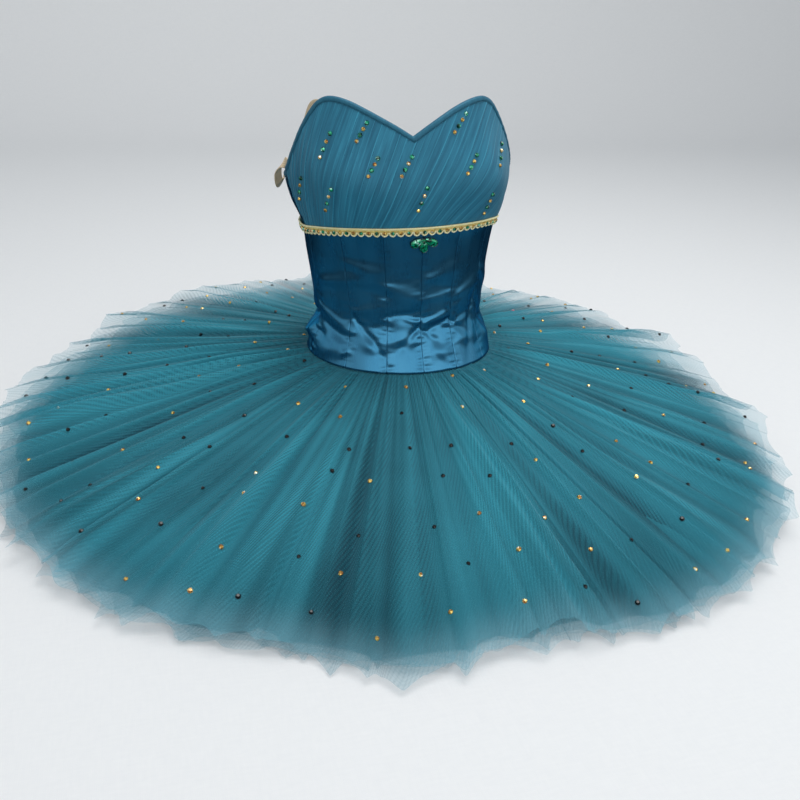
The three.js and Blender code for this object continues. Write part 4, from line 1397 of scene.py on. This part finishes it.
#           reach of a ring from hip to edge, number of stones in it
STONE_RINGS = [(0.07, 13), (0.21, 18), (0.35, 24), (0.49, 30), (0.63, 36), (0.77, 42), (0.9, 46)]
ROSE_STONE = (3, 25)
top_layer = LAYERS[0]


def top_net(angle, reach):
    u = np.array([((angle + 180) / 360) % 1.0])
    return net_points(top_layer, u, np.array([1.0 - reach]))[0]


stone_chance = np.random.default_rng(87)
shapes = {"gold": bmesh.new(), "dark": bmesh.new(), "rose": bmesh.new()}
for ring, (reach, count) in enumerate(STONE_RINGS):
    for number in range(count):
        angle = -180 + 360 * (number + 0.5 * (ring % 2) + stone_chance.uniform(-0.22, 0.22)) / count
        near = reach + stone_chance.uniform(-0.03, 0.03)
        point = top_net(angle, near)
        across, out = top_net(angle + 0.25, near) - point, top_net(angle, near + 0.01) - point
        normal = np.cross(across, -out)
        normal = normal if normal[2] > 0 else -normal
        kind = "gold" if stone_chance.random() < 0.42 else "dark"
        kind = "rose" if (ring, number) == ROSE_STONE else kind
        add_stone(shapes[kind], stand_on(point + [0, 0, 0.2], normal, across),
                  SKIRT_STONE_RADIUS * stone_chance.uniform(0.85, 1.1), stone_chance.uniform(0, 3))
stones_piece("skirt_stones_gold", shapes["gold"], AMBER)
stones_piece("skirt_stones_dark", shapes["dark"], JET)
stones_piece("skirt_stones_rose", shapes["rose"], ROSE)
print(sum(count for _, count in STONE_RINGS), "stones on the skirt")

# %% [markdown]
# ## Brooch
# Three pear-cut stones fan out under the braid. A pear is a circle that is drawn in
# towards one end. Extruding it gives the girdle and two insets give the slanting facets
# and the flat top, just as a cutter would leave them.

# %% Brooch
BROOCH_HEIGHT = 276
#        turn from straight down, length, half width
PEARS = [(-60, 17.5, 4.8), (0, 16.5, 4.9), (66, 18, 4.8)]


def silver_material():
    material, start, shader = new_material("silver_setting")
    place = start.node("ShaderNodeTexCoord", None, None, 3)
    wear = place.noise(900, 3)
    set_shader(start, shader,
               Base_Color=wear.step(0.3, 0.7).blend(colour(70, 74, 72), colour(196, 200, 196)),
               Metallic=1.0,
               Roughness=0.2 + wear * 0.25,
               Normal=bump(start, wear, 0.1, 0.4))
    return material


SILVER = silver_material()
PEAR_SIDES = 14


def pear_outline(shape, length, half_width, scale, height):
    """A closed outline of a pear, its point at the origin."""
    ring = bmesh.ops.create_circle(shape, segments=PEAR_SIDES, radius=1, cap_ends=True)["verts"]
    centre = -length * 0.62
    for vert in ring:
        angle = math.atan2(vert.co.x, vert.co.y)
        swell = (0.62 + 0.38 * math.cos(angle)) ** 0.6
        across = half_width * 1.3 * math.sin(angle) * swell
        down = -length * (1 + math.cos(angle)) / 2
        vert.co = (across * scale, centre + (down - centre) * scale, height)
    return next(face for face in shape.faces if set(face.verts) == set(ring))


def brooch_surface(across, up, out):
    angle = np.degrees(across / half_width_at(BROOCH_HEIGHT))
    return body_points(angle, BROOCH_HEIGHT + up, out)


def brooch_piece(name, build):
    shape = bmesh.new()
    for turn, length, half_width in PEARS:
        pear = bmesh.new()
        build(pear, length, half_width)
        bmesh.ops.recalc_face_normals(pear, faces=pear.faces)
        bmesh.ops.rotate(pear, cent=(0, 0, 0), matrix=Matrix.Rotation(math.radians(turn), 3, "Z"),
                         verts=pear.verts)
        part = bpy.data.meshes.new("pear")
        pear.to_mesh(part)
        pear.free()
        shape.from_mesh(part)
        bpy.data.meshes.remove(part)
    mesh = bpy.data.meshes.new(name)
    shape.to_mesh(mesh)
    shape.free()
    flat = np.empty(len(mesh.vertices) * 3)
    mesh.vertices.foreach_get("co", flat)
    flat = flat.reshape(-1, 3)
    mesh.vertices.foreach_set("co", (brooch_surface(*flat.T) * MM).ravel())
    mesh.uv_layers.new(name="cloth")
    return new_object(name, mesh)


def cut_pear(shape, length, half_width):
    """Girdle, two rings of facets and a flat top."""
    face = pear_outline(shape, length, half_width, 0.93, 2.3)
    raised = bmesh.ops.extrude_face_region(shape, geom=[face])["geom"]
    corners = [part for part in raised if isinstance(part, bmesh.types.BMVert)]
    bmesh.ops.translate(shape, vec=(0, 0, 0.9), verts=corners)
    top = next(part for part in raised if isinstance(part, bmesh.types.BMFace))
    for inward, upward in ((1.1, 1.1), (1.2, 0.5)):
        bmesh.ops.inset_individual(shape, faces=[top], thickness=inward, depth=0)
        bmesh.ops.translate(shape, vec=(0, 0, upward), verts=top.verts)


def pear_setting(shape, length, half_width):
    """A metal cup round the stone's girdle."""
    face = pear_outline(shape, length, half_width, 1.03, 1.6)
    raised = bmesh.ops.extrude_face_region(shape, geom=[face])["geom"]
    corners = [part for part in raised if isinstance(part, bmesh.types.BMVert)]
    bmesh.ops.translate(shape, vec=(0, 0, 1.4), verts=corners)
    top = next(part for part in raised if isinstance(part, bmesh.types.BMFace))
    bmesh.ops.inset_individual(shape, faces=[top], thickness=0.55, depth=0)
    bmesh.ops.translate(shape, vec=(0, 0, -0.5), verts=top.verts)


dress(brooch_piece("brooch_stones", cut_pear), EMERALD, "stone", "brooch")
dress(brooch_piece("brooch_setting", pear_setting), SILVER, "stone")
print("brooch of", len(PEARS), "pears")

# %% [markdown]
# ## Back closing
# The centre back closes with seven hook plates over a narrow underlap. The plates are
# plain solids already, so they keep their mesh and only get a worn metal finish.

# %% Back closing
UNDERLAP = {"half_angle": 8, "low": 132, "high": 296, "out": -2.8}


def underlap_place(u, v):
    angle = 180 + UNDERLAP["half_angle"] * (2 * u - 1)
    height = mix(UNDERLAP["low"], UNDERLAP["high"], v)
    return body_points(angle, height, UNDERLAP["out"])


underlap = thicken(cloth_grid("satin_underlap", 16, 80, underlap_place,
                              lambda u, v, m: np.stack([u * 32, v * 164], axis=-1)), 1.2)
dress(underlap, SATIN, "satin", "back_underlap")
lay_flat(underlap, 0.033, 0.166, area_of(underlap), "stretched", "satin_centre_back_left")
for number in range(1, 8):
    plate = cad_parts[f"back_hook_{number}"]
    plate.data.materials.clear()
    plate.data.materials.append(SILVER)

# %% [markdown]
# ## Table and light
# The tutu lies on a pale cloth in soft daylight. A wide sheet that curves up at the back
# is a studio's usual way to get one even background. It is left out of what the satin
# mirrors, and the world is dark below the horizon. So the upright part of the bodice
# mirrors the net and is deep. The flare over the hem mirrors the bright band over the
# horizon and a low, wide window in front, and is pale. A large lamp overhead shapes the
# folds of the net.

# %% Table
def table_material():
    material, start, shader = new_material("table_cloth")
    place = start.node("ShaderNodeTexCoord", None, None, 3)
    across, along, _ = place.parts()
    slubs = place.stretched(1, 6, 1).noise(60, 3) * 0.5
    slubs = slubs + place.stretched(6, 1, 1).noise(60, 3) * 0.5
    weave = (across / (1.6 * MM)).stripe() * (along / (1.6 * MM)).stripe()
    set_shader(start, shader,
               Base_Color=(slubs * 0.8 + weave * 0.2).blend(colour(230, 232, 233),
                                                            colour(243, 244, 243)),
               Roughness=0.85,
               Normal=bump(start, slubs, 0.5, 0.4))
    return material


def backdrop_place(u, v):
    """A floor that turns up smoothly behind the garment."""
    width, run, bend = 24000, 16000, 900
    along = v * (run + bend * math.pi / 2 + 3200)
    turn = np.clip((along - run) / bend, 0, math.pi / 2)
    y = -14000 + np.minimum(along, run) + bend * np.sin(turn)
    z = bend * (1 - np.cos(turn)) + np.maximum(along - run - bend * math.pi / 2, 0)
    return np.stack([(u - 0.5) * width, y, z], axis=-1)


table = cloth_grid("table", 12, 240, backdrop_place, lambda u, v, m: np.stack([u, v], axis=-1))
table.data.materials.append(table_material())
table.visible_glossy = False
print("table", len(table.data.polygons), "faces")

# %% Light
def soft_lamp(name, place, size, watts):
    """A rectangular lamp that faces the middle of the garment."""
    lamp = bpy.data.lights.new(name, "AREA")
    lamp.shape = "RECTANGLE"
    lamp.size, lamp.size_y = size
    lamp.energy = watts
    holder = bpy.data.objects.new(name, lamp)
    holder.location = place
    holder.rotation_mode = "QUATERNION"
    holder.rotation_quaternion = (Vector((0, 0, 0.2)) - Vector(place)).to_track_quat("-Z", "Y")
    holder.visible_camera = False
    bpy.context.scene.collection.objects.link(holder)
    print("lamp", name, watts, "watts")


soft_lamp("overhead", (0.3, -0.2, 2.3), (1.8, 1.5), 37)
soft_lamp("front_window", (0.3, -1.95, 0.46), (4.6, 0.9), 9)
world = bpy.data.worlds.new("daylight")
world.use_nodes = True
sky = Value(world.node_tree)
height = sky.node("ShaderNodeTexCoord", None, None, 0).parts()[2]
above = height.step(0.25, 0.6).blend(colour(232, 234, 236), colour(172, 176, 182))
shade = height.step(-0.25, 0.06).blend(colour(40, 54, 64), above)
background = world.node_tree.nodes["Background"]
world.node_tree.links.new(shade.socket, background.inputs["Color"])
background.inputs["Strength"].default_value = 0.85
bpy.context.scene.world = world
bpy.context.scene.view_settings.view_transform = "Standard"
